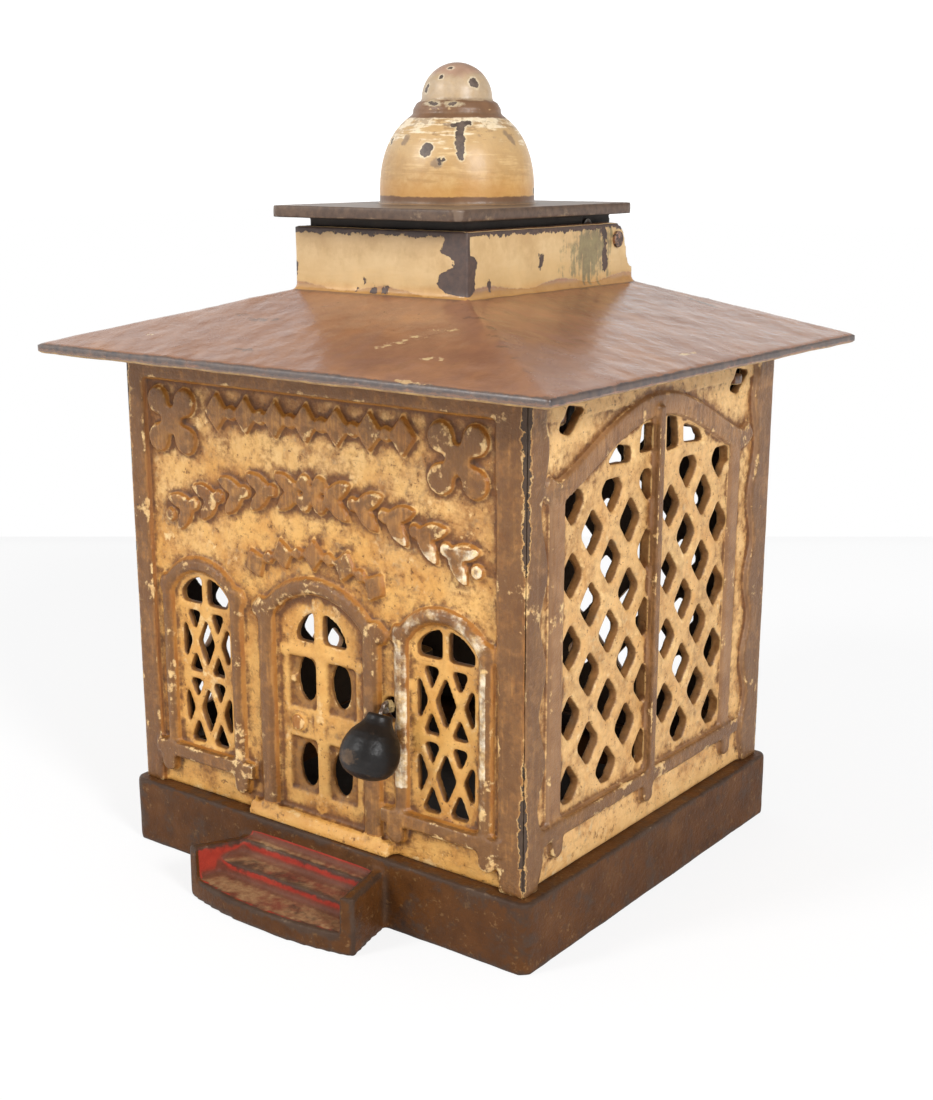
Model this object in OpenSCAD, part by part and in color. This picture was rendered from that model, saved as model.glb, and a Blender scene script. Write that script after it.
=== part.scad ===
// A cast iron mechanical bank in the form of a small hipped-roof building with a cupola.
// X runs along the front, -Y is the front, Z is up; the origin is the middle of the underside.
// Pulling the knob opens the cupola lid and lifts a cashier behind a counter; a coin on the
// counter tips it back, the coin slides into the building and the lid closes.

/* [Building] */
// Width over the walls, along the front
walls_w = 81.8; // [74:0.2:98]
// Depth over the walls
walls_d = 75.6; // [70:0.2:91]
// Height of the plinth that the walls stand on
plinth_h = 11.7; // [10:0.1:15]
// Thickness of the cast walls at their corner posts
wall_t = 2.8; // [2.6:0.1:3.6]
// How far the wall fields lie behind the corner posts
field_recess = 1.0; // [0.6:0.1:1.1]

/* [Plinth and steps] */
// How far the plinth stands out beyond the walls
plinth_lip = 1.6; // [1:0.1:3]
// Thickness of the plinth's outer wall
plinth_t = 3.0; // [2.4:0.1:3.6]
// Thickness of the bottom plate
bottom_t = 2.2; // [1.6:0.1:3]
// Width of the steps where they leave the plinth
steps_w = 30.6; // [26:0.2:40]
// How far the middle of the steps stands out from the plinth
steps_out = 12.9; // [10:0.1:16]
// Height of one step
step_rise = 2.3; // [1.8:0.1:2.6]

/* [Roof] */
// How far the eaves stand out past the side walls
eaves_out_side = 10.1; // [7:0.05:14]
// How far the eaves stand out past the front and back walls
eaves_out_front = 9.95; // [7:0.05:14]
// Height of the upper edge of the eaves
eave_z = 88.7; // [86:0.1:100]
// Height of the slope where it meets the collar
slope_top_z = 97.6; // [95:0.1:112]
// Thickness of the roof, measured straight down
roof_t = 1.6; // [1.3:0.1:2.4]

/* [Collar] */
// Outer width of the collar that carries the lid
collar_w = 35; // [33:0.2:42]
// Where the front of the collar stands
collar_front_y = -20.7; // [-24:0.1:-20]
// How high the collar stands above the top of the slope
collar_h = 10.1; // [9:0.1:13]
// Thickness of the collar's walls
collar_t = 2.2; // [1.6:0.1:2.6]

/* [Hinge and lid] */
// Where the hinge pin stands, behind the middle
hinge_y = 22.3; // [20:0.1:24]
// Radius of the hinge pin
pin_r = 1.0; // [0.8:0.05:1.2]
// Running clearance round the pin
pin_fit = 0.06; // [0.02:0.01:0.1]
// How far the lid opens
open_angle = 76; // [60:1:80]
// Width of the lid plate
lid_w = 38.8; // [37:0.2:46]
// Depth of the lid plate
lid_d = 50.2; // [48:0.2:52]
// Thickness of the lid plate
lid_t = 1.8; // [1.4:0.1:2.4]
// Height of the rim under the lid plate, which rests on the collar
rim_h = 1.5; // [1:0.1:2.5]
// Radius of the dome
dome_r = 12.8; // [10:0.1:15]
// Height of the dome up to its neck ring
dome_rise = 13.1; // [10:0.1:16]
// Radius of the small ball on the dome
ball_r = 5.8; // [4:0.1:6.5]

/* [Cashier and counter] */
// Depth of the counter
counter_d = 17; // [12:0.5:18]
// Height of the counter
counter_h = 6.4; // [5:0.1:8]
// Radius of the cashier's head
head_r = 3.4; // [2.8:0.1:4]

/* [Pull] */
// Where the pull hole stands, right of the middle
pull_x = 15.3; // [15:0.1:15.6]
// Height of the pull hole
pull_z = 35.9; // [32:0.1:40]
// Radius of the pull knob at its widest
knob_r = 4.65; // [3.6:0.05:5]
// Length of the pull knob
knob_len = 10.2; // [8:0.1:12]
// Radius of the pull cord
cord_r = 0.45; // [0.3:0.05:0.6]

/* [Hidden] */
$fn = 48;

// Cut depth past a face, and how deep two joined shapes run into each other
past = 1;
bite = 0.3;
// Gap left between castings that meet, so that the seam shows
seam = 0.1;

// Plinth
plinth_w = walls_w + 2 * plinth_lip;
plinth_d = walls_d + 2 * plinth_lip;
roof_w = walls_w + 2 * eaves_out_side;
roof_d = walls_d + 2 * eaves_out_front;
plinth_corner_r = 2;
flange_t = 3;
flange_in = 0.5;
boss_r = 4.2;
// Places of the four base screws, in from the wall corners
screw_in = 7.6;
screw_x = walls_w / 2 - screw_in;
screw_y = walls_d / 2 - screw_in;
screw_r = 1.5;
screw_len = 17.5;
screw_head_r = 3.0;
foot_r = 3.3;
foot_h = 8;

// Steps
step_flare = 2.6;
cheek_t = 2.3;
cheek_h = 9.6;
cheek_back_left = 7.6;
cheek_back_right = 9.8;
step_run = 4.2;
steps_side_out = 10.4;
lip_h = 3.5;

// Walls
// Widths of the front's left and right corner posts, at the foot and at the top
post_foot = [4.4, 4.7];
post_top = [3.8, 5.7];
cornice_z = 82.5;
front_field_top = 83.3;

// Roof
collar_back_y = hinge_y + 5.5;
eave_band = 1.2;
collar_top = slope_top_z + collar_h;
back_sill_h = 2.6;
back_sill_t = 1.5;
slope_x = (slope_top_z - eave_z) / (roof_w / 2 - collar_w / 2);

// Height of the roof's underside over a place x to the side
function underside_z(x) = eave_z + (roof_w / 2 - x) * slope_x - roof_t;
// The same over the front wall; the walls end under the lower of the two
slope_front = (slope_top_z - eave_z) / (roof_d / 2 + collar_front_y);
underside_front_z = eave_z + eaves_out_front * slope_front - roof_t;
walls_top = min(underside_z(walls_w / 2), underside_front_z) - 0.05;

// Hinge and lid
hinge_z = collar_top - 2.8;
plate_z = collar_top + rim_h;
plate_top = plate_z + lid_t;
hub_r = 2.6;
lug_t = 2.2;
lug_out = collar_w / 2 - collar_t - 0.6;
arm_t = 1.6;
arm_out = lug_out - lug_t;
ear_r = 4.2;
lid_front_gap = 4.3;
lid_mid_y = collar_front_y - lid_front_gap + lid_d / 2;
dome_wall = 2.1;
dome_foot = 1.3;
ball_z = plate_top + dome_foot + dome_rise + 2.2;

// Carrier, in places counted from the hinge with the lid open
arm_low = -4.2;
arm_high = -1.0;
bar_t = 1.4;
bar_w = 3.4;
counter_gap = 0.8;
counter_w = 2 * (arm_out - arm_t - counter_gap);
sleeve_r = 1.1;
elbow_z = counter_h + sleeve_r + 0.4;
shoulder_z = elbow_z + 2.4;
body_h = shoulder_z + 3;
stud_y = -12.1;
stud_z = -5.6;
stud_r = 0.75;
rivet_y = -5.5;
rivet_z = 2.2;
rivet_r = 0.8;
body_y = -13.6;
stop_y = -11;
stop_w = 3;

// Cord route: up from the pull hole, over the guide pin, down to the stud on the carrier
guide_r = 0.8;
guide_cheek_r = 1.6;
guide_y = collar_front_y + collar_t + 1.8;
guide_z = collar_top - 4.7;
cord_x = arm_out + 1;
cord_turn = guide_r + cord_r + 0.05;
arm_end = guide_y + guide_cheek_r + 0.7 - hinge_y;
counter_front = arm_end + 0.4;

// Knob
knob_tilt = 25;
knob_x = 16.2;
knob_out = 2.9;
knob_neck_y = -walls_d / 2 - knob_out;
knob_neck_z = 36.5;
wire_r = 0.35;
eye_r = 0.7;
eye_x = pull_x + 0.5;
eye_y = knob_neck_y + 1.8;
eye_z = pull_z + 1.1;

// Pattern of the side lattices: distances from the window's middle and heights
lattice_first = 3.5;
lattice_pitch = 5.45;
lattice_low_z = 24.9;
lattice_row = 5.6;
lattice_half_w = 3.45;
lattice_half_h = 4.1;
lattice_draft = 0.85;

// General shapes

// Slab with round upright corners
module rounded_slab(w, d, h, r) {
    translate([-w / 2 + r, -d / 2, 0]) cube([w - 2 * r, d, h]);
    translate([-w / 2, -d / 2 + r, 0]) cube([w, d - 2 * r, h]);
    for (x = [-1, 1], y = [-1, 1])
        translate([x * (w / 2 - r), y * (d / 2 - r), 0]) cylinder(h = h, r = r);
}

// Drawing on a wall: x runs along the wall and y is height; face is the wall's distance from
// the middle, and the shape runs from depth behind the face to proud in front of it
module on_wall(face, depth, proud) {
    translate([0, -face + depth, 0]) rotate([90, 0, 0]) linear_extrude(depth + proud) children();
}

// Wall with its ends cut at 45 degrees, so that two walls meet at the corner
module mitred_wall(face, width) {
    half = width / 2 - seam / 2;
    translate([0, 0, plinth_h]) linear_extrude(walls_top - plinth_h)
        polygon([[-half, -face], [half, -face], [half - wall_t, -face + wall_t],
                 [-half + wall_t, -face + wall_t]]);
}

// Drawing helpers

module box2(x0, x1, y0, y1) {
    translate([x0, y0]) square([x1 - x0, y1 - y0]);
}

// Upright shape with a round top: half its width, its foot, the middle and radius of its arch
module arched(half, foot, mid_z, r) {
    spring = mid_z + sqrt(r * r - half * half);
    box2(-half, half, foot, spring);
    intersection() {
        translate([0, mid_z]) circle(r = r, $fn = 96);
        box2(-half, half, foot, mid_z + r + 1);
    }
}

// Bar from one point to another
module bar2(a, b, w) {
    d = b - a;
    translate(a) rotate(atan2(d[1], d[0])) translate([0, -w / 2]) square([norm(d), w]);
}

module lozenge(w, h) {
    polygon([[-w / 2, 0], [0, -h / 2], [w / 2, 0], [0, h / 2]]);
}

// Pointed leaf along x, from the overlap of two circles
module leaf(length, width) {
    r = (length * length + width * width) / (4 * width);
    intersection() {
        translate([0, r - width / 2]) circle(r = r, $fn = 64);
        translate([0, width / 2 - r]) circle(r = r, $fn = 64);
    }
}

// Four round petals on the arms of a cross
module quatrefoil(r, spread) {
    for (x = [-1, 1], y = [-1, 1]) {
        translate([x * spread, y * spread]) circle(r = r, $fn = 32);
        bar2([0, 0], [x * spread, y * spread], 1.2 * r);
    }
    circle(r = spread * 0.55, $fn = 32);
}

// Round tube along a list of points in or near an upright plane that runs front to back
function tube_dir(p, i) =
    let (a = p[max(i - 1, 0)], b = p[min(i + 1, len(p) - 1)]) (b - a) / norm(b - a);
function tube_ring(p, i, r, n) =
    let (d = tube_dir(p, i), c = cross(d, [1, 0, 0]), s = c / norm(c), t = cross(d, s))
    [for (k = [0 : n - 1]) p[i] + r * (cos(360 * k / n) * s + sin(360 * k / n) * t)];

module tube(p, r, n = 8) {
    m = len(p);
    rings = [for (i = [0 : m - 1]) each tube_ring(p, i, r, n)];
    sides = [for (i = [0 : m - 2], k = [0 : n - 1])
             let (a = i * n + k, b = i * n + (k + 1) % n) each [[a, b + n, b], [a, a + n, b + n]]];
    caps = [for (k = [1 : n - 2]) each [[0, k, k + 1],
            [(m - 1) * n, (m - 1) * n + k + 1, (m - 1) * n + k]]];
    polyhedron(concat(rings, [p[0]]), concat(sides, caps));
}

// Places a shape drawn round the hinge with the lid open, as it lies with the lid closed
module stowed() {
    translate([0, hinge_y, hinge_z]) rotate([open_angle, 0, 0]) children();
}

// Shape in the plane across the hinge, x forward and back, y up, from x0 to x1 along the pin
module across(x0, x1) {
    translate([x0, 0, 0]) rotate([90, 0, 90]) linear_extrude(x1 - x0) children();
}

// Plinth

module base_plinth() {
    color("#5d4737") {
        difference() {
            rounded_slab(plinth_w, plinth_d, plinth_h, plinth_corner_r);
            translate([0, 0, -past])
                rounded_slab(plinth_w - 2 * plinth_t, plinth_d - 2 * plinth_t,
                             plinth_h - flange_t + past, plinth_corner_r / 2);
            translate([0, 0, -past])
                rounded_slab(walls_w - 2 * (wall_t + flange_in), walls_d - 2 * (wall_t + flange_in),
                             plinth_h + 2 * past, plinth_corner_r);
        }
        difference() {
            for (x = [-1, 1], y = [-1, 1]) translate([x * screw_x, y * screw_y, bottom_t]) {
                cylinder(h = plinth_h - bottom_t, r = boss_r);
                translate([min(0, x * boss_r), -boss_r, 0])
                    cube([boss_r, 2 * boss_r, plinth_h - bottom_t]);
            }
            for (x = [-1, 1], y = [-1, 1]) translate([x * screw_x, y * screw_y, 0])
                cylinder(h = plinth_h + past, r = screw_r + 0.2);
        }
        steps();
    }
}

// Plan of the steps: sides that splay outwards and a bowed front
module steps_plan(inset) {
    front = -plinth_d / 2 - steps_out;
    side_y = -plinth_d / 2 - steps_side_out;
    half = steps_w / 2 + step_flare;
    bow = side_y - front;
    bow_r = (half * half + bow * bow) / (2 * bow);
    difference() {
        polygon([[-steps_w / 2 + inset, -plinth_d / 2 + bite], [steps_w / 2 - inset, -plinth_d / 2 + bite],
                 [half - inset, side_y], [half - inset, front - 1], [-half + inset, front - 1],
                 [-half + inset, side_y]]);
        difference() {
            translate([-half - 1, front - 2]) square([2 * half + 2, bow + 2]);
            translate([0, front + bow_r]) circle(r = bow_r, $fn = 180);
        }
    }
}

module steps() {
    face = -plinth_d / 2;
    front = face - steps_out - 1;
    tread = face - steps_side_out + step_run;
    intersection() {
        linear_extrude(plinth_h) steps_plan(cheek_t / 2);
        across(-steps_w, steps_w)
            polygon([[front, 0], [front, lip_h], [tread, lip_h], [tread, lip_h + step_rise],
                     [tread + step_run, lip_h + step_rise], [tread + step_run, lip_h + 2 * step_rise],
                     [face + bite, lip_h + 2 * step_rise], [face + bite, 0]]);
    }
    for (side = [-1, 1]) intersection() {
        linear_extrude(plinth_h) difference() {
            steps_plan(0);
            steps_plan(cheek_t);
        }
        across(min(0, side * steps_w), max(0, side * steps_w))
            polygon([[front, 0], [front, cheek_h],
                     [face + bite, side < 0 ? cheek_back_left : cheek_back_right],
                     [face + bite, 0]]);
    }
}

module bottom_plate() {
    fit = 0.2;
    color("#4b4038") difference() {
        rounded_slab(plinth_w - 2 * (plinth_t + fit), plinth_d - 2 * (plinth_t + fit), bottom_t,
                     plinth_corner_r / 2);
        for (x = [-1, 1], y = [-1, 1]) translate([x * screw_x, y * screw_y, 0]) {
            translate([0, 0, -past]) cylinder(h = bottom_t + 2 * past, r = screw_r + 0.2);
            translate([0, 0, -0.01])
                cylinder(h = screw_head_r - screw_r + 0.01, r1 = screw_head_r + 0.2, r2 = screw_r + 0.2);
        }
    }
}

module base_screws() {
    head_h = screw_head_r - screw_r;
    color("#3c3835") for (x = [-1, 1], y = [-1, 1]) translate([x * screw_x, y * screw_y, 0])
        difference() {
            union() {
                translate([0, 0, 0.1]) cylinder(h = head_h, r1 = screw_head_r, r2 = screw_r);
                cylinder(h = screw_len, r = screw_r - 0.02);
            }
            translate([-screw_head_r - 1, -0.4, -past]) cube([2 * screw_head_r + 2, 0.8, past + 0.8]);
            translate([0, 0, -past]) cylinder(h = past + 0.1, r = screw_head_r + 1);
        }
}

// Front wall

win_x = 25.5;
win_half = 6.8;
win_jamb = 2.5;
win_foot = 20;
win_mid = 43.9;
win_hood_r = 10.1;
win_inner_r = 7.7;
door_x = 0.5;
door_half = 9.4;
door_jamb = 3.4;
door_mid = 39.8;
door_hood_r = 14.7;
door_inner_r = 12.0;
frame_proud = 0.3;
frame_step = 0.65;
grille_recess = 1.15;
grille_half = 5.4;
grille_arch_r = 6.5;
grille_bar = 1.35;
leaf_recess = 1.25;

module front_field() {
    half = walls_w / 2;
    polygon([[-half + post_foot[0], plinth_h - past], [half - post_foot[1], plinth_h - past],
             [half - post_top[1], front_field_top], [-half + post_top[0], front_field_top]]);
}

// Frame of a window, drawn in from its outline on both sides by inset
module window_frame(inset) {
    half = win_half + win_jamb - inset;
    difference() {
        union() {
            arched(half, win_foot, win_mid, win_hood_r - inset);
            for (s = [-1, 1]) {
                translate([s * (half - 0.3), win_mid + 4.2]) circle(r = 1.1 - inset / 3, $fn = 32);
                translate([s * (half - 0.7), win_mid + 4.8]) circle(r = 1.3 - inset / 3, $fn = 32);
            }
        }
        translate([0, -past])
            arched(win_half + inset, win_foot - past, win_mid + past, win_inner_r + inset);
    }
}

module window_sill() {
    box2(-win_half - 4.7, win_half + 4.7, win_foot - 2.5, win_foot);
    for (s = [-1, 1]) translate([s * 8.8, win_foot - 2.5]) {
        box2(-1.5, 1.5, -1.6, 0.2);
        translate([0, -1.5]) circle(r = 1.5, $fn = 32);
    }
}

// Bars of one window, inside its opening
module window_bars() {
    low = win_foot + 0.8;
    mid = 32.8;
    high = 45;
    box2(-grille_half, grille_half, mid - grille_bar / 2, mid + grille_bar / 2);
    box2(-grille_half, grille_half, high - grille_bar / 2, high + grille_bar / 2);
    box2(-grille_bar / 2, grille_bar / 2, high, win_mid + win_inner_r);
    for (cell = [[low, mid], [mid, high]], side = [-1, 0]) {
        x0 = side * grille_half;
        bar2([x0, cell[0]], [x0 + grille_half, cell[1]], grille_bar);
        bar2([x0, cell[1]], [x0 + grille_half, cell[0]], grille_bar);
    }
}

module window_holes() {
    difference() {
        arched(grille_half, win_foot + 0.8, win_mid, grille_arch_r);
        window_bars();
    }
}

// Frame of the door, drawn in like the windows' frames
module door_frame(inset) {
    half = door_half + door_jamb - inset;
    difference() {
        union() {
            arched(half, plinth_h, door_mid, door_hood_r - inset);
            for (s = [-1, 1]) {
                translate([s * (half + 0.3), door_mid + 7.8]) circle(r = 1.3 - inset / 3, $fn = 32);
                translate([s * (half - 0.7), door_mid + 8.4]) circle(r = 1.5 - inset / 3, $fn = 32);
            }
        }
        translate([0, -past])
            arched(door_half + inset, plinth_h - past, door_mid + past, door_inner_r + inset);
    }
}

rail_x = 0.4;
oval_x = 3.6;
oval_half = 1.95;
oval_len = 7.5;

module oval(z) {
    for (s = [-1, 1]) translate([s * oval_x, z])
        polygon([for (a = [0 : 15 : 345]) [oval_half * cos(a), oval_len / 2 * sin(a)]]);
}

module door_holes() {
    oval(37);
    oval(22.2);
    difference() {
        translate([0, 43.3]) circle(r = 5.4, $fn = 64);
        box2(-6, 6, 37, 43.6);
        box2(-rail_x - 1, -rail_x + 1, 40, 52);
    }
}

// Sunk panels of the door round its holes
module door_panels() {
    for (s = [-1, 1], row = [[17.4, 27], [32, 40.8]])
        box2(min(s * 1.2, s * 7.2), max(s * 1.2, s * 7.2), row[0], row[1]);
}

module door_relief() {
    box2(-rail_x - 0.8, -rail_x + 0.8, 15, 51);
    box2(-8.6, 8.6, 40.8, 42.2);
    box2(-6.5, -4.3, 36.3, 37.3);
}

// Places things along an arch: its middle height, radius, the angles and the drawing
module along_arch(mid_z, r, angles) {
    for (a = angles) translate([0, mid_z]) rotate(-a) translate([0, r]) children();
}

// Plain cast ornament in three lines: lozenges with pellets, a leaf garland, small lozenges
module ornament() {
    line_z = 79;
    for (i = [-3 : 3]) translate([-1 + i * 6.4, line_z]) lozenge(4.9, 6.2);
    for (i = [-3 : 2]) translate([2.2 + i * 6.4, line_z]) circle(r = 1.05, $fn = 24);
    arc_r = 72;
    arc_z = -4;
    along_arch(arc_z, arc_r, [0]) quatrefoil(1.3, 1.6);
    for (s = [-1, 1], i = [0 : 4]) along_arch(arc_z, arc_r, [s * (4.6 + i * 4.9)]) {
        for (e = [-1, 1]) translate([-s * 0.6, e * 1.35]) rotate(e * s * 32) leaf(5.8, 2.4);
        translate([s * 2.6, 0]) circle(r = 1.0, $fn = 24);
    }
    along_arch(31.5, 26.8, [-28, -14, 0, 14, 28]) lozenge(4.2, 5.2);
    along_arch(31.5, 26.8, [-21, -7, 7, 21]) circle(r = 0.95, $fn = 24);
}

module threshold(face) {
    half = door_half + door_jamb + 2.2;
    translate([door_x - half, -face + field_recess, plinth_h]) rotate([90, 0, 90])
        linear_extrude(2 * half)
            polygon([[0.5, 0], [-2.0, 0], [-2.0, 0.9], [-1.2, 2.3], [0.5, 2.3]]);
}

module front_wall() {
    face = walls_d / 2;
    color("#cfa55f") difference() {
        union() {
            difference() {
                mitred_wall(face, walls_w);
                on_wall(face, field_recess, past) front_field();
                for (s = [-1, 1])
                    on_wall(face, grille_recess, past) translate([s * win_x, 0])
                        arched(win_half, win_foot + 0.4, win_mid, win_inner_r);
                on_wall(face, leaf_recess, past) translate([door_x, 0])
                    arched(door_half, plinth_h + 2.3, door_mid, door_inner_r);
                on_wall(face, leaf_recess + 0.6, past) translate([door_x, 0]) door_panels();
            }
            for (s = [-1, 1]) translate([s * win_x, 0, 0]) {
                on_wall(face, field_recess + bite, frame_proud - 0.5) window_frame(0);
                on_wall(face, field_recess + bite, frame_proud) window_frame(frame_step);
                on_wall(face, field_recess + bite, frame_proud + 0.4) window_sill();
            }
            translate([door_x, 0, 0]) {
                on_wall(face, field_recess + bite, frame_proud - 0.5) door_frame(0);
                on_wall(face, field_recess + bite, frame_proud) door_frame(frame_step);
                on_wall(face, leaf_recess + 0.8, 0.3 - leaf_recess) door_relief();
                on_wall(face, leaf_recess + 0.8, 0.8 - leaf_recess)
                    translate([-4.9, 29.6]) circle(r = 1.3, $fn = 32);
            }
            threshold(face);
            on_wall(face, field_recess + bite, -0.1) ornament();
            for (x = [-30.6, 28.4]) on_wall(face, field_recess + bite, 0)
                translate([x, 76.6]) quatrefoil(2.25, 3.1);
        }
        for (s = [-1, 1]) on_wall(face, wall_t + past, past) translate([s * win_x, 0]) window_holes();
        on_wall(face, wall_t + past, past) translate([door_x, 0]) door_holes();
        on_wall(face, wall_t + past, past) {
            for (e = [-0.4, 0.4]) translate([pull_x, pull_z + e]) circle(r = 1.6, $fn = 32);
        }
    }
}

// Lattice walls

lat_half = 25.35;
lat_jamb = 3.5;
lat_foot = 21;
lat_top = 72;
lat_rise = 9.3;
lat_ear = 31.4;
lat_band = 3.3;
mullion_half = 0.9;
mullion_proud = 0.5;
jamb_sunk = 0.4;
ogee_sunk = 0.2;
// Slot in the top of a side wall, its corners counted from its middle, and the lug in it
slot_shape = [[-2.9, 80.6], [0.2, 79.7], [3.7, 83.4], [-0.9, 84.2]];
lug_z = [81.3, 83.2];
lug_w = 2;
scallop = 0.9;
scallop_first_z = 17.5;
scallop_pitch = 14.4;
scallop_top_pitch = 18.3;
post_side = [4.8, 6.0];
side_win_y = -1.95;
// How far the ogee, the mullion and the lattice of a side window lie behind its middle
side_shift = [0.9, 0.6, 3.05];
slot_y = [-25.5, 26];

// Middle line of the ogee moulding over a window of a given half width
function ogee(u, half) =
    let (v = abs(u), reach = half + 2.75)
    v < reach ? lat_top + lat_rise * pow(cos(90 * v / reach), 1.3)
              : lat_top + 1.6 * pow((v - reach) / 3.4, 2);

module ogee_band(half) {
    ear = half + lat_ear - lat_half;
    n = 28;
    us = [for (i = [-n : n]) ear * i / n];
    function lean(u) =
        let (d = ogee(u + 0.2, half) - ogee(u - 0.2, half), l = norm([0.4, d])) [-d, 0.4] / l;
    top = [for (u = us) [u, ogee(u, half)] + lean(u) * lat_band / 2];
    low = [for (i = [2 * n : -1 : 0]) [us[i], ogee(us[i], half)] - lean(us[i]) * lat_band / 2];
    polygon(concat(top, low));
}

// Edge of a corner post, waved as cast, with a longer wave at the top: side is -1 or 1, post
// is its mean width
function wave_turn(z) =
    let (turn = (z - scallop_first_z) / scallop_pitch, top = z - scallop_first_z - 3 * scallop_pitch)
    top < 0 ? turn : 3 + top / scallop_top_pitch;
function waved_edge(side, width, post) =
    [for (i = [0 : 60])
        let (z = plinth_h - past + i * (cornice_z + 2 * past - plinth_h) / 60)
        [side * (width / 2 - post - scallop * cos(360 * wave_turn(z))), z]];

module lattice_field(width, posts) {
    right = waved_edge(1, width, posts[1]);
    left = waved_edge(-1, width, posts[0]);
    intersection() {
        polygon(concat(right, [for (i = [60 : -1 : 0]) left[i]]));
        box2(-width, width, plinth_h - 2 * past, cornice_z);
    }
}

// Openings under the moulding, above the lattice, counted from the middle of the moulding
top_shapes = [
    [[-14, 73.8], [-7, 73.3], [-7, 75.7], [-10.9, 76.5]],
    [[-4.7, 74.2], [-1.1, 74.2], [-1.1, 78.6], [-4, 78.5]],
    [[3.7, 73.3], [7.6, 73.6], [6.9, 78.3], [3.6, 79.3]],
    [[9.2, 74], [16, 73.4], [14.1, 75.6], [9, 77.2]]
];

// Diamond with its corners cut off a little
module cut_lozenge(half_w, half_h) {
    c = 0.12;
    polygon([for (q = [[1, 0], [0, 1], [-1, 0], [0, -1]], e = [-1, 1])
             let (n = [-q[1], q[0]] * e * c, v = q * (1 - c) + n) [v[0] * half_w, v[1] * half_h]]);
}

// Diamond openings of the two leaves, which narrow towards the inside by the casting's draft;
// shift is how far their pattern lies off the middle
module diamonds(face, half, mullion, shift) {
    depth = wall_t - field_recess;
    intersection() {
        for (side = [-1, 1], k = [0 : 4], i = [0 : 8])
            let (x = shift + side * (lattice_first + k * lattice_pitch))
            if ((k + i + (side > 0 ? 1 : 0)) % 2 == 0 && abs(x) < half + 0.5)
                translate([x, -face + field_recess - 0.1, lattice_low_z + i * lattice_row])
                    rotate([-90, 0, 0]) linear_extrude(depth + 0.4, scale = lattice_draft)
                        cut_lozenge(lattice_half_w, lattice_half_h);
        on_wall(face, wall_t + past, -field_recess + 0.1) {
            box2(-half, mullion - mullion_half, 22.4, 71.4);
            box2(mullion + mullion_half, half, 22.4, 71.4);
        }
    }
}

// Wall with a pair of lattice leaves: face distance, width, half width and place of the window,
// shifts of its parts, widths of the corner posts, and the places of the slots in its top
module lattice_wall(face, width, half, mid, shift, posts, slots) {
    difference() {
        union() {
            difference() {
                mitred_wall(face, width);
                on_wall(face, field_recess, past) lattice_field(width, posts);
                on_wall(face, field_recess - 0.25, past)
                    box2(-width / 2 + posts[0], width / 2 - posts[1], cornice_z - 0.1, walls_top + past);
            }
            translate([mid, 0, 0]) {
                on_wall(face, field_recess + bite, -ogee_sunk) translate([shift[0], 0]) ogee_band(half);
                on_wall(face, field_recess + bite, -jamb_sunk) for (s = [-1, 1])
                    translate([s * (half + lat_jamb / 2), 0])
                        box2(-lat_jamb / 2, lat_jamb / 2, lat_foot - 1, lat_top);
                on_wall(face, field_recess + bite, mullion_proud) translate([shift[1], 0])
                    box2(-mullion_half, mullion_half, lat_foot - 1, lat_top + lat_rise);
                on_wall(face, field_recess + bite, 0.3) {
                    box2(-half - 5.8, half + 5.8, lat_foot - 2.4, lat_foot);
                    for (s = [-1, 0, 1]) translate([s * (half + 1.6), lat_foot - 2.4]) {
                        box2(-1.5, 1.5, -1.8, 0.2);
                        translate([0, -1.7]) circle(r = 1.5, $fn = 32);
                    }
                }
            }
        }
        translate([mid, 0, 0]) {
            diamonds(face, half, shift[1], shift[2]);
            on_wall(face, wall_t + past, -field_recess + 0.1) translate([shift[0], 0])
                for (p = top_shapes) polygon(p);
        }
        for (y = slots) on_wall(face, wall_t + past, past) translate([y, 0]) polygon(slot_shape);
    }
}

// Feet inside a side wall, tapped for the base screws
module wall_feet() {
    inner = walls_w / 2 - wall_t;
    difference() {
        for (y = [-1, 1]) translate([0, y * screw_y, plinth_h]) {
            translate([screw_x, 0, 0]) cylinder(h = foot_h, r = foot_r);
            translate([screw_x, -foot_r, 0]) cube([inner + bite - screw_x, 2 * foot_r, foot_h]);
        }
        for (y = [-1, 1]) translate([screw_x, y * screw_y, plinth_h - past])
            cylinder(h = foot_h, r = screw_r);
    }
}

module side_wall() {
    rotate([0, 0, 90])
        lattice_wall(walls_w / 2, walls_d, lat_half, side_win_y, side_shift, post_side, slot_y);
    wall_feet();
}

module right_wall() {
    color("#d0a862") side_wall();
}

module left_wall() {
    color("#cda45e") mirror([1, 0, 0]) side_wall();
}

module back_wall() {
    wider = (walls_w - walls_d) / 2;
    color("#c9a05c") rotate([0, 0, 180])
        lattice_wall(walls_d / 2, walls_w, lat_half + wider, 0, [0, 0, 0], [5.4, 5.4], []);
}

// Roof

// Solid with four slopes: how far it is let down, and drawn in at the eaves
module hip(down, draw_in) {
    low = eave_z - roof_t - down;
    x = roof_w / 2 - draw_in;
    y = roof_d / 2 - draw_in;
    cx = collar_w / 2;
    edge = eave_z - down + draw_in * slope_x;
    intersection() {
        translate([0, roof_d, 0]) rotate([90, 0, 0]) linear_extrude(2 * roof_d)
            polygon([[-x, low - past], [x, low - past], [x, edge], [cx, slope_top_z - down],
                     [-cx, slope_top_z - down], [-x, edge]]);
        across(-roof_w, roof_w)
            polygon([[-y, low - past], [y, low - past], [y, edge], [collar_back_y, slope_top_z - down],
                     [collar_front_y, slope_top_z - down], [-y, edge]]);
        translate([-roof_w, -roof_d, down > 0 ? low - past : low])
            cube([2 * roof_w, 2 * roof_d, 60]);
    }
}

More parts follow.
